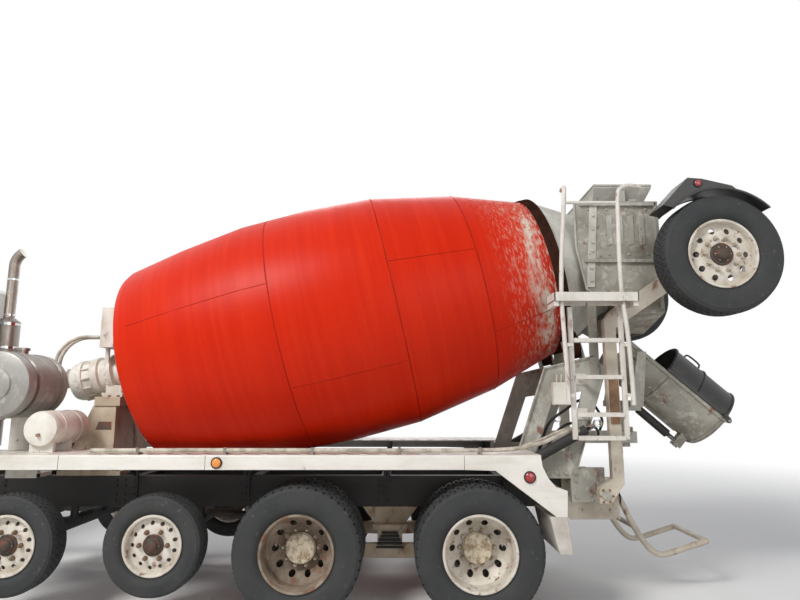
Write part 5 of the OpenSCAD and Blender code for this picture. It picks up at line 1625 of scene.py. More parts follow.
@dataclass
class RearEnd:
    """The rear tower with the hopper, the collector and the guard behind the frame.

    Attributes:
        tower_y: Inner face of a tower plate.
        collector_y: Outer face of the collector's side.
        guard_y: Middle of a guard tube.
        guard_r: Radius of a guard tube.
    """

    tower_y: float = 0.6
    collector_y: float = 0.73
    guard_y: float = 0.33
    guard_r: float = 0.027

    def tower(self) -> None:
        """The tower's plates with folded edges, bolts, pin ends and dark hoses."""
        refined("rear_tower", TOWER_GREY, 0.004)
        left, face = [], self.tower_y + 0.03
        for a, b in (((-1.66, 1.109), (-1.96, 1.99)), ((-1.09, 1.109), (-1.4, 1.99)), ((-1.4, 1.99), (-1.86, 2.1))):
            a, b = np.array(a), np.array(b)
            n = np.array([a[1] - b[1], b[0] - a[0]]) / np.linalg.norm(b - a) * 0.006
            left.append(plate([a - n, b - n, b + n, a + n], face - 0.002, face + 0.02))
        left.append(bolts([station(x, face, 1.065) for x in np.linspace(-1.64, -1.15, 7)], (0, 1, 0), 0.016))
        left.append(bolts([station(-1.86, face, 1.06), station(-1.64, face, 1.0), station(-1.64, face, 0.86),
                           station(-1.78, face, 0.84)], (0, 1, 0), 0.014))
        piece("tower_edges", both(left), TOWER_GREY, bevel=0.002)
        routes = ([(-1.3, 0.56, 1.11), (-1.36, 0.57, 1.3), (-1.44, 0.585, 1.5), (-1.6, 0.58, 1.62),
                   (-1.75, 0.5, 1.7), (-1.9, 0.42, 1.66), (-2.0, 0.34, 1.52), (-2.05, 0.112, 1.42)],
                  [(-1.34, 0.53, 1.11), (-1.42, 0.54, 1.28), (-1.55, 0.54, 1.45), (-1.7, 0.5, 1.5),
                   (-1.86, 0.4, 1.48), (-1.98, 0.25, 1.42), (-2.03, 0.112, 1.35)])
        piece("tower_hoses", [bent(points, 6, 0.0125, 10) for points in routes], TRIM_RUBBER)
        box = [slab(-1.62, -1.46, TOWER_FACE, 0.7, 1.66, 1.86), slab(-1.615, -1.465, 0.699, 0.706, 1.665, 1.855)]
        levers = [rod(station(x, 0.67, 1.86), station(x, 0.69, 1.93), 0.006, 8) for x in (-1.58, -1.54, -1.5)]
        piece("valve_box", box + levers, MACHINE_WHITE, bevel=0.003)

    def hopper(self) -> None:
        """The charging hopper with a rolled rim, and ribs on its back and sides."""
        refined("hopper", TOWER_GREY, 0.002)
        top = [(-2.555, 0.475), (-2.555, -0.475), (-2.0, -0.475), (-2.0, 0.475)]
        rim = [rod(station(*a, 3.786), station(*b, 3.786), 0.0125, 12) for a, b in zip(top, top[1:] + top[:1])]
        ribs = [rod(station(-2.566, y, 3.755), station(-2.34, 0.41 * y, 3.275), 0.008, 6) for y in (-0.3, 0.0, 0.3)]
        left = rod(station(-2.28, 0.486, 3.755), station(-2.17, 0.21, 3.275), 0.009, 6)
        piece("hopper_rim", rim + ribs + both([left]), TOWER_GREY)

    def collector(self) -> None:
        """The collector with the stiffeners and bolts of its sides and its rolled front edges."""
        refined("collector", CHUTE_GREY, 0.002)
        face = self.collector_y
        left = [slab(x0, x1, face, face + 0.028, z0, z1) for x0, z0, x1, z1 in (
            (-2.47, 3.49, -1.76, 3.52), (-2.47, 2.95, -1.79, 2.98), (-2.485, 2.53, -2.455, 3.52))]
        edge = stations([(-1.72, face, 3.53), (-1.72, face, 3.1), (-1.8, face, 2.7), (-2.08, face, 2.53)])
        spots = [station(x, face, z) for x in (-2.38, -2.2, -2.02, -1.84) for z in (3.46, 3.03)]
        left += [tube(edge, 0.011, 10), bolts(spots, (0, 1, 0), 0.01)]
        left += [plate([(x, 3.13), (x + 0.05, 3.11), (x + 0.05, 3.39), (x, 3.41)], face, face + 0.007)
                 for x in (-2.36, -2.26, -2.16, -2.06)]
        piece("collector_stiffeners", both(left), TOWER_GREY, bevel=0.002)
        # The flange leans by 0.076 m for each metre of height, and its bolts with it
        spots = [station(-1.895 + 0.076 * (3.51 - z), face + 0.008, z) for z in (3.4, 3.27, 3.14, 3.06, 2.9, 2.78)]
        flange = [plate([(-1.93, 3.51), (-1.87, 2.72), (-1.8, 2.72), (-1.86, 3.51)], face, face + 0.009),
                  bolts(spots, (0, 1, 0), 0.014)]
        piece("collector_flanges", both(flange), NECK_WHITE)

    def guard(self) -> None:
        """The guard: plates under the rails, and bent tubes with bars between them."""
        y, r = self.guard_y, self.guard_r
        spots = [station(x, 0.45, z) for x, z in ((-1.62, 0.97), (-1.75, 0.97), (-1.88, 0.97), (-2.0, 0.97),
                                                  (-1.62, 0.84), (-2.0, 0.72), (-1.75, 0.72))]
        left = [plate([(-2.06, 0.66), (-2.04, 0.64), (-1.63, 0.64), (-1.56, 0.72), (-1.56, 1.01), (-2.06, 1.01)],
                      RAIL_Y, 0.45), bolts(spots, (0, 1, 0), 0.016)]
        piece("guard_plates", both(left) + [slab(-2.08, -2.06, -0.45, 0.45, 0.64, 0.9)], BOOSTER_BEIGE,
              bevel=0.002, stands_for=("rear_guard",))
        route = [(x, y, z) for x, z in ((-2.085, 0.88), (-2.15, 0.75), (-2.22, 0.6), (-2.3, 0.46), (-2.38, 0.36),
                                        (-2.46, 0.315), (-2.55, 0.325), (-2.72, 0.376), (-2.9, 0.43))]
        bars = [rod(station(x, -y, z), station(x, y, z), r - 0.003, 16) for x, z in ((-2.9, 0.43), (-2.24, 0.56))]
        piece("guard_tubes", both([bent(route, 5, r, 16)]) + bars, BOOSTER_BEIGE,
              stands_for=("rear_guard",))

    def build(self) -> None:
        """Makes the whole rear end."""
        self.tower()
        self.hopper()
        self.collector()
        self.guard()


# Chutes


@dataclass
class Chutes:
    """The swivel, the main chute, the fold chute on it and the lift cylinder.

    Attributes:
        top: Station and height of the main chute's top.
        slope: Its slope in degrees.
        length: Its length.
        radius: Its outer radius.
    """

    top: tuple[float, float] = (-2.32, 2.27)
    slope: float = 41.0
    length: float = 1.15
    radius: float = 0.31

    @property
    def placing(self) -> Matrix:
        """X down along the chute, Z square up from it, origin at its top."""
        turn = Matrix.Rotation(math.radians(-self.slope), 4, "Y") @ Matrix.Rotation(math.pi, 4, "Z")
        return Matrix.Translation(station(self.top[0], 0, self.top[1])) @ turn

    def across(self, along: float, radius: float, start: float, end: float) -> Array:
        """Points of an arc across the trough.

        Args:
            along: Distance of the arc along the chute.
            radius: Its radius.
            start: Angle in degrees at which it starts.
            end: Angle at which it ends.

        Returns:
            The points.
        """
        a = np.radians(np.linspace(start, end, 33))
        return np.stack([np.full(len(a), along), radius * np.cos(a), radius * np.sin(a)], axis=1)

    def main(self) -> None:
        """The main chute with its rolled edges, hoops, stiffener and crust of dried concrete."""
        refined("main_chute", CHUTE_GREY, 0.0015)
        r, body = self.radius, carried("main_chute")
        edge = rod((0.01, r - 0.002, 0.002), (self.length - 0.01, r - 0.002, 0.002), 0.008, 12)
        shells = both([edge]) + [tube(self.across(along, r + 0.004, 188, 352), 0.011, 8)
                                 for along in (0.02, 0.5, self.length - 0.03)]
        shells.append(brick((0.2, -0.02, -r - 0.014), (0.95, 0.02, -r + 0.003)))
        piece("main_chute_edges", [join(shells).turned(self.placing)], CHUTE_GREY, body)
        # The crust lies on the trough's inside, 4 to 12 mm thick
        a = np.radians(np.linspace(198, 342, 40))
        x = np.linspace(0.03, self.length - 0.04, 60)[:, None]
        thick = 0.004 + 0.008 * smooth_noise(np.random.default_rng(7), (60, 40), 5)
        inner = r - 0.0085
        top, low = (np.roll(around_axis(q, a, x), 1, axis=2) for q in (inner - thick, inner + 0 * thick))
        piece("main_chute_crust", [sheet_shell(top, low).turned(self.placing)], NECK_WHITE, body)

    def fold(self) -> None:
        """The fold chute upside down on the main one, with hoops, edges and a handle."""
        refined("fold_chute", CHUTE_BLACK, 0.0015)
        r, low, high = self.radius, self.length - 0.706, self.length - 0.006
        shells = [tube(self.across(along, r + 0.003, 4, 176), 0.0105, 8)
                  for along in (low + 0.014, (low + high) / 2, high - 0.014)]
        handle = [(low + 0.16, 0.04, r + 0.004), (low + 0.16, 0.04, r + 0.05), (low + 0.19, 0.04, r + 0.07),
                  (low + 0.3, 0.04, r + 0.07), (low + 0.33, 0.04, r + 0.05), (low + 0.33, 0.04, r + 0.004)]
        shells.append(tube(smooth_path(handle, 4), 0.009, 10))
        piece("fold_chute_edges", [join(shells).moved((0, 0, 0.008)).turned(self.placing)], CHUTE_BLACK,
              carried("fold_chute"))

    def build(self) -> None:
        """Makes the chutes, their swivel and the lift cylinder."""
        self.main()
        self.fold()
        refined("chute_swivel", TOWER_GREY, 0.004)
        refined("chute_cylinder", CHASSIS_BLACK_AND_SHADE, 0.002)
        refined("chute_rod", BRIGHT_CHROME)


@dataclass
class Booster:
    """The booster axle, folded up behind the drum, on its arms.

    Attributes:
        fender_r: Radius of the fender's outer face.
        fender_half: Half of the fender's width.
        arm_y: Side distance at which the fender's brackets stand on the arm.
    """

    fender_r: float = 0.572
    fender_half: float = 0.15
    arm_y: float = 0.8403

    def fenders(self) -> None:
        """The fenders: curved sheets with turned-down edges, their stays and the boxes of their red lamps."""
        r, half, (x, y, z) = self.fender_r, self.fender_half, BOOSTER_AXLE
        a = np.radians(np.linspace(42.5, 136.5, 72))[:, None]
        # The sheet's section: side distance and radius of each corner, carried round the arc
        section = np.array([(-half, r - 0.012), (-half, r - 0.002), (-half + 0.02, r), (half - 0.02, r),
                            (half, r - 0.002), (half, r - 0.012)])
        sheet = [skin(around_axis(section[:, 1], a, section[:, 0])[..., [0, 2, 1]])]
        for at in (-half + 0.006, half - 0.006):
            sheet.append(tube(around_axis(r - 0.0125, a[:, 0], at)[:, [0, 2, 1]], 0.006, 8))
        # The lamp box: a faceted wedge that stands on the fender's front half
        outline = [(0.5, 0.41), (0.272, 0.655), (0.15, 0.645), (-0.1, 0.585)]
        outline += [((r - 0.001) * math.cos(t), (r - 0.001) * math.sin(t))
                    for t in np.radians(np.linspace(104, 43, 16))]
        box = prism(outline, -half + 0.004, half - 0.004)
        for side, name in SIDE_NAMES.items():
            middle = station(x, side * y, z)
            stays = [slab(x - 0.02, x - 0.02 + 0.04, side * self.arm_y, side * far, low, 3.4838)
                     for far, low in ((self.arm_y + 0.03, 3.0), (y - 0.149, 3.45))]
            shells = [shell.moved(middle) for shell in sheet] + stays + [box.moved(middle)]
            piece(f"booster_fender_{name}", shells, CHUTE_BLACK, carried("booster_arm"),
                  bevel=0.004, stands_for=("booster_fenders",))

    def build(self) -> None:
        """Makes the arms, fenders, lamps and lift cylinders."""
        refined("booster_arm", BOOSTER_BEIGE, 0.005)
        self.fenders()
        x, y, z = BOOSTER_AXLE
        for side, name in SIDE_NAMES.items():
            spot = station(x + 0.19, side * (y + self.fender_half - 0.0045), z + 0.603)
            lamp(f"booster_lamp_{name}", spot, (0, side, 0), 0.03, LAMP_RED, carried("booster_arm"))
        refined("booster_cylinders", CHASSIS_BLACK_AND_SHADE, 0.002)
        refined("booster_rods", BRIGHT_CHROME)
        spots = [station(-1.84 + 0.055 * math.cos(t), 0.84, 0.9 + 0.055 * math.sin(t))
                 for t in np.radians(np.arange(0, 360, 60))]
        left = [bolts(spots, (0, 1, 0), 0.009), slab(-1.99, -1.91, 0.84, 0.85, 1.5, 1.9)]
        piece("booster_arm_fittings", both(left), LIFT_RUST, carried("booster_arm"), bevel=0.002)


def smooth_noise(rng: np.random.Generator, shape: tuple[int, int], cells: int) -> Array:
    """Values from 0 to 1 that change smoothly: a coarse random grid read with linear steps.

    Args:
        rng: A seeded generator.
        shape: Rows and columns of the result.
        cells: Cells of the coarse grid along the longer side.

    Returns:
        The values.
    """
    total = np.zeros(shape)
    for level in (1, 2, 4):
        n = cells * level
        coarse = rng.random((n + 1, n + 1))
        u, v = np.linspace(0, n, shape[0]), np.linspace(0, n, shape[1])
        i, j = np.minimum(u.astype(int), n - 1), np.minimum(v.astype(int), n - 1)
        s, t = (u - i)[:, None], (v - j)[None]
        s, t = s * s * (3 - 2 * s), t * t * (3 - 2 * t)
        rows = coarse[i][:, j] * (1 - s) * (1 - t) + coarse[i + 1][:, j] * s * (1 - t)
        rows += coarse[i][:, j + 1] * (1 - s) * t + coarse[i + 1][:, j + 1] * s * t
        total += rows / level
    return total / 1.75


def sheet_shell(top: Array, low: Array) -> Shell:
    """Closes two grids of points of the same size into one shell, by a wall round their edges.

    Args:
        top: Rows x columns x 3 points of one face.
        low: The other face's points.

    Returns:
        The closed shell.
    """
    rows, columns = top.shape[:2]
    count = rows * columns
    grid = quads(rows, columns, False, False)
    faces = grid + [[i + count for i in face[::-1]] for face in grid]
    number = np.arange(count).reshape(rows, columns)
    ring = np.concatenate([number[0], number[1:, -1], number[-1, -2::-1], number[-2:0:-1, 0]]).tolist()
    faces += [[a, b, b + count, a + count] for a, b in zip(ring, ring[1:] + ring[:1])]
    return Shell(np.concatenate([top.reshape(-1, 3), low.reshape(-1, 3)]), faces)


# Cab and front


@dataclass
class Cab:
    """The cab with its doors, glass, seats and fittings, all behind the hood.

    Attributes:
        half: Half of the cab's width.
        back: Station of its back face.
        top: Height of its roof.
        seat_y: Side distance of a seat's middle.
    """

    half: float = 1.0
    back: float = 4.62
    top: float = 3.0
    seat_y: float = 0.48

    def shells(self) -> None:
        """The cab's sheet metal, its doors and glass."""
        refined("cab", CAB_WHITE, 0.014)
        refined("cab_glass", WINDOW_GLASS)
        for name in SIDE_NAMES.values():
            refined(f"door_{name}", CAB_WHITE, 0.005)
            refined(f"door_glass_{name}", WINDOW_GLASS)

    def roof(self) -> None:
        """Five amber marker lamps on the roof, and the sun visor on its ribs."""
        body = revolve([(0, 0), (0.03, 0), (0.03, 0.004), (0.026, 0.012), (0.018, 0.02), (0, 0.024)], 24)
        body = body.turned(Matrix.Diagonal((1.7, 1.0, 1.0, 1.0)))
        for k, y in enumerate((-0.8, -0.2, 0.0, 0.2, 0.8)):
            piece(f"roof_lamp_{k}", [body.moved(station(5.36, y, self.top - 0.001))], LAMP_AMBER)
        line = [(5.4, 2.992), (5.58, 2.975), (5.72, 2.93), (5.79, 2.875)]
        visor = plate(line + [(x - 0.002, z - 0.012) for x, z in line[::-1]], -0.9, 0.9)
        ends = [plate([(5.41, 2.975), (5.58, 2.96), (5.7, 2.93), (5.56, 2.9)], y - 0.004, y + 0.004)
                for y in (-0.86, 0.0, 0.86)]
        piece("sun_visor", [visor] + ends, BRIGHT_CHROME, bevel=0.002)

    def seals(self) -> None:
        """Rubber seals round the windshield, the rear window and the door windows, and the door handles."""
        windshield = [(5.83, 0.86, 2.05), (5.83, -0.86, 2.05), (5.575, -0.86, 2.85), (5.575, 0.86, 2.85)]
        rear = [(self.back - 0.001, y, z) for y, z in ((0.5, 2.38), (-0.5, 2.38), (-0.5, 2.68), (0.5, 2.68))]
        piece("window_seals", [seal_loop(windshield, 0.012), seal_loop(rear, 0.014)], TRIM_RUBBER)
        y = self.half
        ring = [(x, y + 0.001, z) for x, z in ((4.93, 2.01), (5.69, 2.01), (5.44, 2.77), (4.93, 2.77))]
        grip = [slab(4.95, 5.06, y + 0.02, y + 0.032, 1.882, 1.908)]
        grip += [slab(x, x + 0.012, y + 0.01, y + 0.022, 1.885, 1.905) for x in (4.95, 5.048)]
        rows = (("seal", [seal_loop(ring, 0.01)], TRIM_RUBBER, "black_plastic", 0.0),
                ("handle", [slab(4.93, 5.08, y, y + 0.012, 1.86, 1.93)], TRIM_RUBBER, "black_plastic", 0.003),
                ("grip", grip, BRIGHT_CHROME, "chrome_bumper", 0.003))
        for side, name in SIDE_NAMES.items():
            for label, left, finish, slot, bevel in rows:
                piece(f"door_{label}_{name}", on_side(left, side), finish, carried(f"door_{name}"),
                      bevel=bevel)

    def grabs(self) -> None:
        """Grab bars behind the doors, and the wipers."""
        face, y = self.half, self.half + 0.06
        bar = bent([(4.74, *spot) for spot in ((face, 1.5), (y, 1.5), (y, 1.6), (y, 2.3), (y, 2.4), (face, 2.4))],
                   6, 0.014, 12)
        piece("cab_grab_bars", both([bar]), BRIGHT_CHROME)
        # A wiper's blade is 0.52 m long and lies along the windshield's slope
        middle = np.array(station(5.79, 0.6, 2.33))
        reach = np.array([0.255, 0, -0.8]) / math.hypot(0.255, 0.8) * 0.26
        wiper = [rod(station(5.875, 0.3, 2.02), station(5.8, 0.55, 2.3), 0.006, 8),
                 rod(middle - reach, middle + reach, 0.008, 6),
                 rod(station(5.86, 0.3, 2.0), station(5.9, 0.3, 2.03), 0.018, 12)]
        piece("wipers", both(wiper), BLACK_PLASTIC)

    def mirrors(self) -> None:
        """The side mirrors on tube brackets, with a flat glass and a round convex one under it."""
        low, high, arm = 1.3, 1.42, 1.33
        housing = [prism([(low, 2.06), (low + 0.012, 2.05), (high - 0.012, 2.05), (high, 2.06), (high, 2.59),
                          (high - 0.012, 2.6), (low + 0.012, 2.6), (low, 2.59)], station(5.71)[0], station(5.77)[0], 0),
                   slab(5.765, 5.78, low + 0.012, high - 0.012, 2.075, 2.575)]
        for route in ([(5.79, 1.0165, 2.0), (5.77, 1.1, 2.0), (5.75, 1.22, 2.0), (5.74, 1.3, 2.003),
                       (5.74, arm, 2.02), (5.74, arm, 2.06)],
                      [(5.485, 1.0185, 2.9), (5.58, 1.12, 2.9), (5.68, 1.24, 2.9), (5.73, 1.31, 2.89),
                       (5.74, arm, 2.85), (5.74, arm, 2.59)]):
            x, foot, z = route[0]
            housing += [bent(route, 6, 0.0135, 12),
                        slab(x - 0.02, x + 0.02, self.half + 0.0003, foot, z - 0.02, z + 0.02)]
        dome = revolve([(0, 0), (0.045, 0), (0.045, 0.003), (0.03, 0.007), (0, 0.01)], 32).turned(TO_BACK)
        glass = [slab(5.707, 5.712, low + 0.012, high - 0.012, 2.24, 2.585),
                 dome.moved(station(5.709, (low + high) / 2, 2.145))]
        for side, name in SIDE_NAMES.items():
            piece(f"mirror_{name}", on_side(housing, side), BLACK_PLASTIC, bevel=0.004,
                  stands_for=("mirrors",))
            piece(f"mirror_glass_{name}", on_side(glass, side), MIRROR_FACE)

    def seats(self) -> None:
        """Two high-backed seats with crowned, channelled cushions on suspended bases."""
        squab = pad((0.47, 0.45, 0.13), 3, 0.016).moved((5.135 - 4.87, 0, -0.01))
        lean = Matrix.Rotation(math.radians(-8), 4, "Y") @ Matrix.Translation((0.015, 0, 0.325)) @ TO_BACK
        seat = join([squab, pad((0.6, 0.44, 0.12), 4, 0.014).turned(lean)])
        for side, name in SIDE_NAMES.items():
            y = side * self.seat_y
            made = piece(f"seat_{name}", [seat.moved(station(4.87, y, 1.64))], SEAT_CLOTH,
                         stands_for=("seats",), sharp=60)
            base = [slab(x0, x1, y - half, y + half, z0, z1) for x0, x1, half, z0, z1 in (
                (4.97, 5.3, 0.17, 1.2103, 1.24), (5.0, 5.27, 0.14, 1.24, 1.5), (4.96, 5.31, 0.18, 1.5, 1.568))]
            base += [slab(5.0, 5.27, y + k * 0.142 - 0.004, y + k * 0.142 + 0.004, 1.26 + 0.05 * j, 1.285 + 0.05 * j)
                     for k in SIDES for j in range(5)]
            piece(f"seat_base_{name}", base, DASH_PLASTIC, bevel=0.006, stands_for=("seats",))

    def dashboard(self) -> None:
        """The dashboard with its dials and switches."""
        refined("dashboard", DASH_PLASTIC, 0.006)
        places = [station(5.641, 0.3 + 0.085 * k, 1.79 + 0.02 * (k % 2)) for k in range(5)]
        bezel = revolve([(0.03, 0), (0.038, 0), (0.038, 0.008), (0.03, 0.01)], 32, loop=True).turned(TO_BACK)
        dial = revolve([(0, 0), (0.031, 0), (0.031, 0.004), (0, 0.004)], 32).turned(TO_BACK)
        switches = [(0, -0.2 - 0.07 * k, 0) for k in range(8)]
        bezels = [copies(bezel, places), copies(slab(5.632, 5.642, -0.02, 0.02, 1.76, 1.82), switches),
                  copies(slab(5.626, 5.634, -0.008, 0.008, 1.775, 1.805), switches)]
        piece("dash_bezels", bezels, BLACK_PLASTIC, bevel=0.001)
        piece("dash_dials", [copies(dial, places)], MIRROR_FACE)

    def build(self) -> None:
        """Makes the cab and everything in and on it."""
        self.shells()
        self.roof()
        self.seals()
        self.grabs()
        self.mirrors()
        self.seats()
        self.dashboard()


def seal_loop(corners: Sequence[Sequence[float]], radius: float) -> Shell:
    """A closed round seal through four corners, each corner rounded by a short arc.

    The path keeps to the straight sides and cuts each corner by the curve (1 - t)^2 a + 2 t (1 - t)
    c + t^2 b between the points a and b near it.

    Args:
        corners: The four corners, given by station.
        radius: Radius of the seal's section.

    Returns:
        The seal.
    """
    c = stations(corners)
    near = []
    for shift in (1, -1):
        way = np.roll(c, shift, axis=0) - c
        near.append(c + way / np.linalg.norm(way, axis=1)[:, None] * 0.05)
    a, b = near
    t = np.linspace(0, 1, 6)[:, None]
    line = ((1 - t) ** 2 * a[:, None] + 2 * t * (1 - t) * c[:, None] + t**2 * b[:, None]).reshape(-1, 3)
    return tube(np.concatenate([line, line[:2]]), radius, 8)


def pad(size: Triple, channels: int, groove: float) -> Shell:
    """A crowned cushion about the origin with sewn channels across its length.

    Its half-thickness at (u, v) in -1..1 is h (1 - u^6)^0.4 (1 - v^6)^0.4, less a groove of the form
    exp(-(distance / 12 mm)^2) at each channel on the upper face.

    Args:
        size: Length, width and thickness.
        channels: Number of sewn channels.
        groove: Depth of a channel.

    Returns:
        The cushion.
    """
    length, width, thick = size
    edge = np.sin(np.linspace(-math.pi / 2, math.pi / 2, 15))
    u = np.unique(np.concatenate([edge, np.linspace(-0.9, 0.9, 61)]))
    v = np.unique(np.concatenate([edge, np.linspace(-0.9, 0.9, 21)]))
    x, y = u * length / 2, v * width / 2
    crown = np.clip(1 - np.abs(u)[:, None] ** 6, 0, 1) ** 0.4 * np.clip(1 - np.abs(v)[None] ** 6, 0, 1) ** 0.4
    half = thick / 2 * crown
    lines = np.linspace(-1, 1, channels + 2)[1:-1] * length / 2
    cut = sum(np.exp(-(((x - line) / 0.012) ** 2)) for line in lines)[:, None] * groove * np.minimum(crown * 1.5, 1)
    top = np.stack([np.broadcast_to(x[:, None], half.shape), np.broadcast_to(y[None], half.shape), half - cut], axis=2)
    low = np.stack([top[..., 0], top[..., 1], -half], axis=2)
    return sheet_shell(top, low)


@dataclass
class Front:
    """The hood, grille, headlamps, bumper, exhaust and fuel tanks.

    Attributes:
        bumper_x: Station of the bumper's face.
        hood_x: Station of the hood's front.
        exhaust: Station and side distance of the exhaust.
        tank: Side distance, height and radius of a fuel tank.
    """

    bumper_x: float = 7.51
    hood_x: float = 7.34
    exhaust: tuple[float, float] = (4.46, -0.8)
    tank: Triple = (0.88, 0.82, 0.3)

    def hood(self) -> None:
        """The hood with its side vents, latches and cheeks, its grille and lamps."""
        refined("hood", CAB_WHITE, 0.012)
        refined("grille", BRIGHT_CHROME, 0.003)
        body = carried("hood")
        x = self.hood_x
        bars = [slab(x - 0.012, x + 0.012, -0.43, 0.43, z0, z1) for z0, z1 in ((0.83, 0.86), (1.56, 1.6))]
        bars += [slab(x - 0.012, x + 0.012, side * 0.415 - 0.015, side * 0.415 + 0.015, 0.86, 1.56)
                 for side in SIDES]
        piece("grille_surround", bars, BRIGHT_CHROME, body, bevel=0.006)
        vents = []
        for x0 in 6.2 + 0.075 * np.arange(6):
            # The hood's side draws in by 0.14 m over 1.375 m
            y = 0.64 - (x0 - 5.965) * 0.14 / 1.375
            vents.append(plate([(x0, 1.42), (x0 + 0.05, 1.44), (x0 + 0.05, 1.62), (x0, 1.6)], y - 0.002, y + 0.009))
        piece("hood_vents", both(vents), BLACK_PLASTIC, body, bevel=0.002)
        latch = slab(5.99, 6.02, 0.642, 0.662, 1.3, 1.4)
        piece("hood_latches", both([latch]), TRIM_RUBBER, body, bevel=0.003)
        cheek = plate([(6.95, 1.18), (6.98, 1.186), (7.28, 1.076), (7.334, 1.017), (7.334, 1.2145), (6.95, 1.2145)],
                      0.783, 0.7998)
        piece("hood_cheeks", both([cheek]), CAB_WHITE, body, bevel=0.003)
        lens = revolve([(0, 0), (0.086, 0), (0.09, 0.012), (0.086, 0.026), (0.06, 0.034), (0, 0.0385)], 48)
        rim = join([revolve([(0.084, 0), (0.0948, 0), (0.0948, 0.024), (0.09, 0.032), (0.084, 0.026)], 48, loop=True),
                    revolve([(0, 0.0005), (0.08, 0.0005), (0.08, 0.004), (0.03, 0.003), (0, 0.003)], 32)])
        for side, name in SIDE_NAMES.items():
            spot = station(x - 0.0047, side * 1.01, 0.95)
            piece(f"headlamp_{name}", [lens.turned(TO_FRONT).moved(spot)], LAMP_CLEAR, body,
                  stands_for=("headlamps",), sharp=60)
            piece(f"headlamp_rim_{name}", [rim.turned(TO_FRONT).moved(spot)], BRIGHT_CHROME, body)
            piece(f"turn_lamp_{name}", [slab(x - 0.007, x + 0.008, side * 1.1, side * 1.17, 0.92, 1.0)], LAMP_AMBER,
                  body, bevel=0.006)

    def bumper(self) -> None:
        """The bumper with its bolts."""
        refined("bumper", BRIGHT_CHROME, 0.008)
        spots = [station(self.bumper_x, y, z) for y in (0.34, 0.44) for z in (0.5, 0.64)]
        piece("bumper_bolts", both([bolts(spots, (1, 0, 0), 0.012)]), STACK_STEEL)

    def exhaust_stack(self) -> None:
        """The stack with its curved tip, and the clamps round the muffler and the pipe."""
        refined("exhaust", STACK_STEEL, 0.002)
        rings = [copies(band(0.1245, 0.0045, -0.012, 0.012, 48), [(0, 0, z) for z in (1.53, 1.9, 2.3, 2.57)]),
                 copies(band(0.0575, 0.0055, -0.01, 0.01, 32), [(0, 0, z) for z in (2.68, 3.1)])]
        piece("exhaust_clamps", [join(rings).moved(station(*self.exhaust))], BRIGHT_CHROME)

    def tanks(self) -> None:
        """The fuel tanks with their straps, caps and ribbed steps."""
        refined("fuel_tanks", BRIGHT_ALLOY, 0.003)
        y, z, r = self.tank
        strap = band(r, 0.004, 0, 0.05, 64).turned(TO_FRONT)
        cap = revolve([(0, 0), (0.05, 0), (0.05, 0.02), (0.06, 0.022), (0.06, 0.045), (0.05, 0.052), (0, 0.054)], 32)
        tread = slab(4.68, 4.69, 1.13, 1.2, -0.0005, 0.004)
        treads = copies(tread, [(0.045 * k, 0, h) for h in (0.63, 0.93) for k in range(18)])
        piece("tank_straps", both([copies(strap, [station(x, y, z) for x in (4.72, 5.38)])]), STACK_STEEL)
        piece("tank_caps", both([cap.moved(station(5.2, y - 0.02, z + r - 0.006))]), BRIGHT_CHROME)
        piece("tank_treads", both([treads]), BRIGHT_ALLOY)

    def build(self) -> None:
        """Makes the whole front."""
        self.hood()
        self.bumper()
        self.exhaust_stack()
        self.tanks()


@dataclass
class Chassis:
    """The frame with its crossmembers and bolts, and the engine block.

    Attributes:
        rail_y: Outer face of a rail.
        bolt_x: Stations of the bolt rows, where crossmembers and brackets stand.
        bolt_z: Heights of the bolts.
    """

    rail_y: float = 0.43
    bolt_x: tuple[float, ...] = (-1.85, -1.05, 0.05, 1.3, 2.45, 3.55, 4.55, 5.65, 7.0)
    bolt_z: tuple[float, ...] = (0.8, 0.86, 0.93, 0.98)

    def build(self) -> None:
        """Makes the frame and what is bolted to it."""
        refined("frame_rails", CHASSIS_BLACK_AND_SHADE, 0.003)
        refined("crossmembers", CHASSIS_BLACK_AND_SHADE, 0.003)
        refined("engine", CAST_GREY, 0.02)
        spots = [station(x + dx, self.rail_y, z) for x in self.bolt_x for z in self.bolt_z for dx in (-0.03, 0.05)]
        piece("rail_bolts", both([bolts(spots, (0, 1, 0), 0.012)]), CHASSIS_BLACK_AND_SHADE)


# Studio


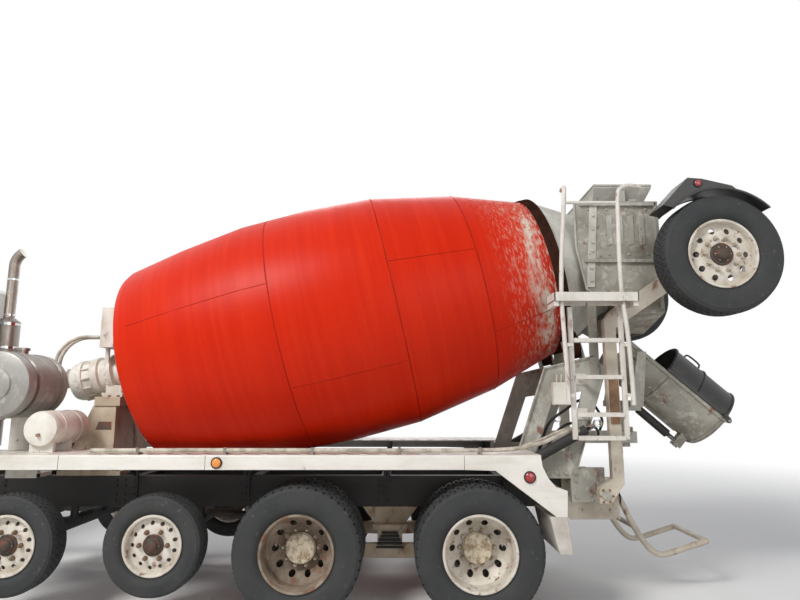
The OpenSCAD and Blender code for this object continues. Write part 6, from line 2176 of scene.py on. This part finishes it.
@dataclass
class Studio:
    """The pale floor, the soft lights and the camera.

    Attributes:
        eye: The camera's place.
        pitch: How far it looks up, in degrees.
        lens: Focal length in millimetres on a 36 mm sensor.
        floor_half: Half of the floor's side.
        fade: Distances between which the floor fades into the background.
    """

    eye: Triple = (-2.18, 6.12, 1.69)
    pitch: float = 9.6
    lens: float = 27.0
    floor_half: float = 40.0
    fade: tuple[float, float] = (7.0, 17.0)

    def camera(self) -> None:
        """The camera, square to the truck's left side and pitched up."""
        data = bpy.data.cameras.new("camera")
        data.lens = self.lens
        data.sensor_width = 36
        data.clip_end = 500
        made = added("camera", data)
        made.location = self.eye
        made.rotation_euler = (math.radians(90 + self.pitch), 0, math.pi)
        bpy.context.scene.camera = made

    def floor(self) -> None:
        """The floor: pale near the truck, and fading into the white background far from it."""
        h = self.floor_half
        mesh = bpy.data.meshes.new("floor")
        mesh.from_pydata([(-h, -h, 0), (h, -h, 0), (h, h, 0), (-h, h, 0)], [], [(0, 1, 2, 3)])
        made = added("floor", mesh)
        material = Finish("floor_pale", (236, 235, 232), 0.85, shine=0.2).material()
        tree = material.node_tree
        place = new_node(tree, "TexCoord", {}).outputs["Object"]
        away = new_node(tree, "VectorMath", {0: place}, operation="LENGTH")
        near, far = self.fade
        fade = new_node(tree, "MapRange", {"From Min": near, "From Max": far, "Value": away.outputs["Value"]},
                        interpolation_type="SMOOTHSTEP")
        self.mixed(tree, fade.outputs["Result"], tree.nodes["Principled BSDF"],
                   new_node(tree, "BsdfTransparent", {}), "Material Output")
        mesh.materials.append(material)

    @staticmethod
    def mixed(tree: bpy.types.NodeTree, factor: bpy.types.NodeSocket, first: bpy.types.Node,
              second: bpy.types.Node, output: str) -> None:
        """Leads a mix of two shaders to a tree's output.

        Args:
            tree: The node tree.
            factor: The second shader's share.
            first: The first shader.
            second: The second shader.
            output: Name of the output node.
        """
        mix = new_node(tree, "MixShader", {0: factor, 1: first.outputs[0], 2: second.outputs[0]})
        feed(tree, tree.nodes[output], {0: mix.outputs[0]})

    def world(self) -> None:
        """A white background to the camera, in reflections and through glass, and a soft grey light."""
        world = bpy.data.worlds.new("studio")
        bpy.context.scene.world = world
        world.use_nodes = True
        tree = world.node_tree
        back = feed(tree, tree.nodes["Background"], {"Color": (0.86, 0.9, 1.0, 1), "Strength": 0.32})
        white = new_node(tree, "Background", {"Color": (1, 1, 1, 1), "Strength": 1.0})
        rays = new_node(tree, "LightPath", {}).outputs
        seen = rays["Is Camera Ray"]
        for name in ("Is Glossy Ray", "Is Transmission Ray"):
            seen = new_node(tree, "Math", {0: seen, 1: rays[name]}, operation="MAXIMUM").outputs[0]
        self.mixed(tree, seen, back, white, "World Output")

    def lights(self) -> None:
        """A large key light high on the left and ahead, a fill from behind the camera and a rim light."""
        rows = (("key", (5.0, 9.0, 11.0), (-1.0, 0.0, 1.6), 4.0, 1620.0),
                ("fill", (-8.0, 12.0, 5.0), (-2.0, 0.0, 1.5), 7.0, 360.0),
                ("back", (-2.0, -12.0, 9.0), (0.0, 0.0, 1.5), 8.0, 600.0))
        for name, spot, target, size, power in rows:
            data = bpy.data.lights.new(name, "AREA")
            data.size, data.energy = size, power
            made = added(name, data)
            made.location = spot
            made.rotation_euler = facing(np.subtract(spot, target)).to_euler()

    def build(self) -> None:
        """Sets up the camera, floor, world and lights."""
        self.camera()
        self.floor()
        self.world()
        self.lights()
        bpy.context.scene.view_settings.view_transform = "Standard"


def main() -> None:
    """Builds the studio and each sub-assembly in turn."""
    logging.basicConfig(level=logging.INFO, format="%(name)s: %(message)s")
    Studio().build()
    drum = Drum()
    parts = (DrumDrive(drum), drum, RunningGear(), WaterTanks(), Decks(), RearEnd(), Ladder(), Chutes(), Booster(),
             Cab(), Front(), Chassis())
    for part in parts:
        LOG.info("building %s", type(part).__name__)
        part.build()


if __name__ == "__main__":
    main()
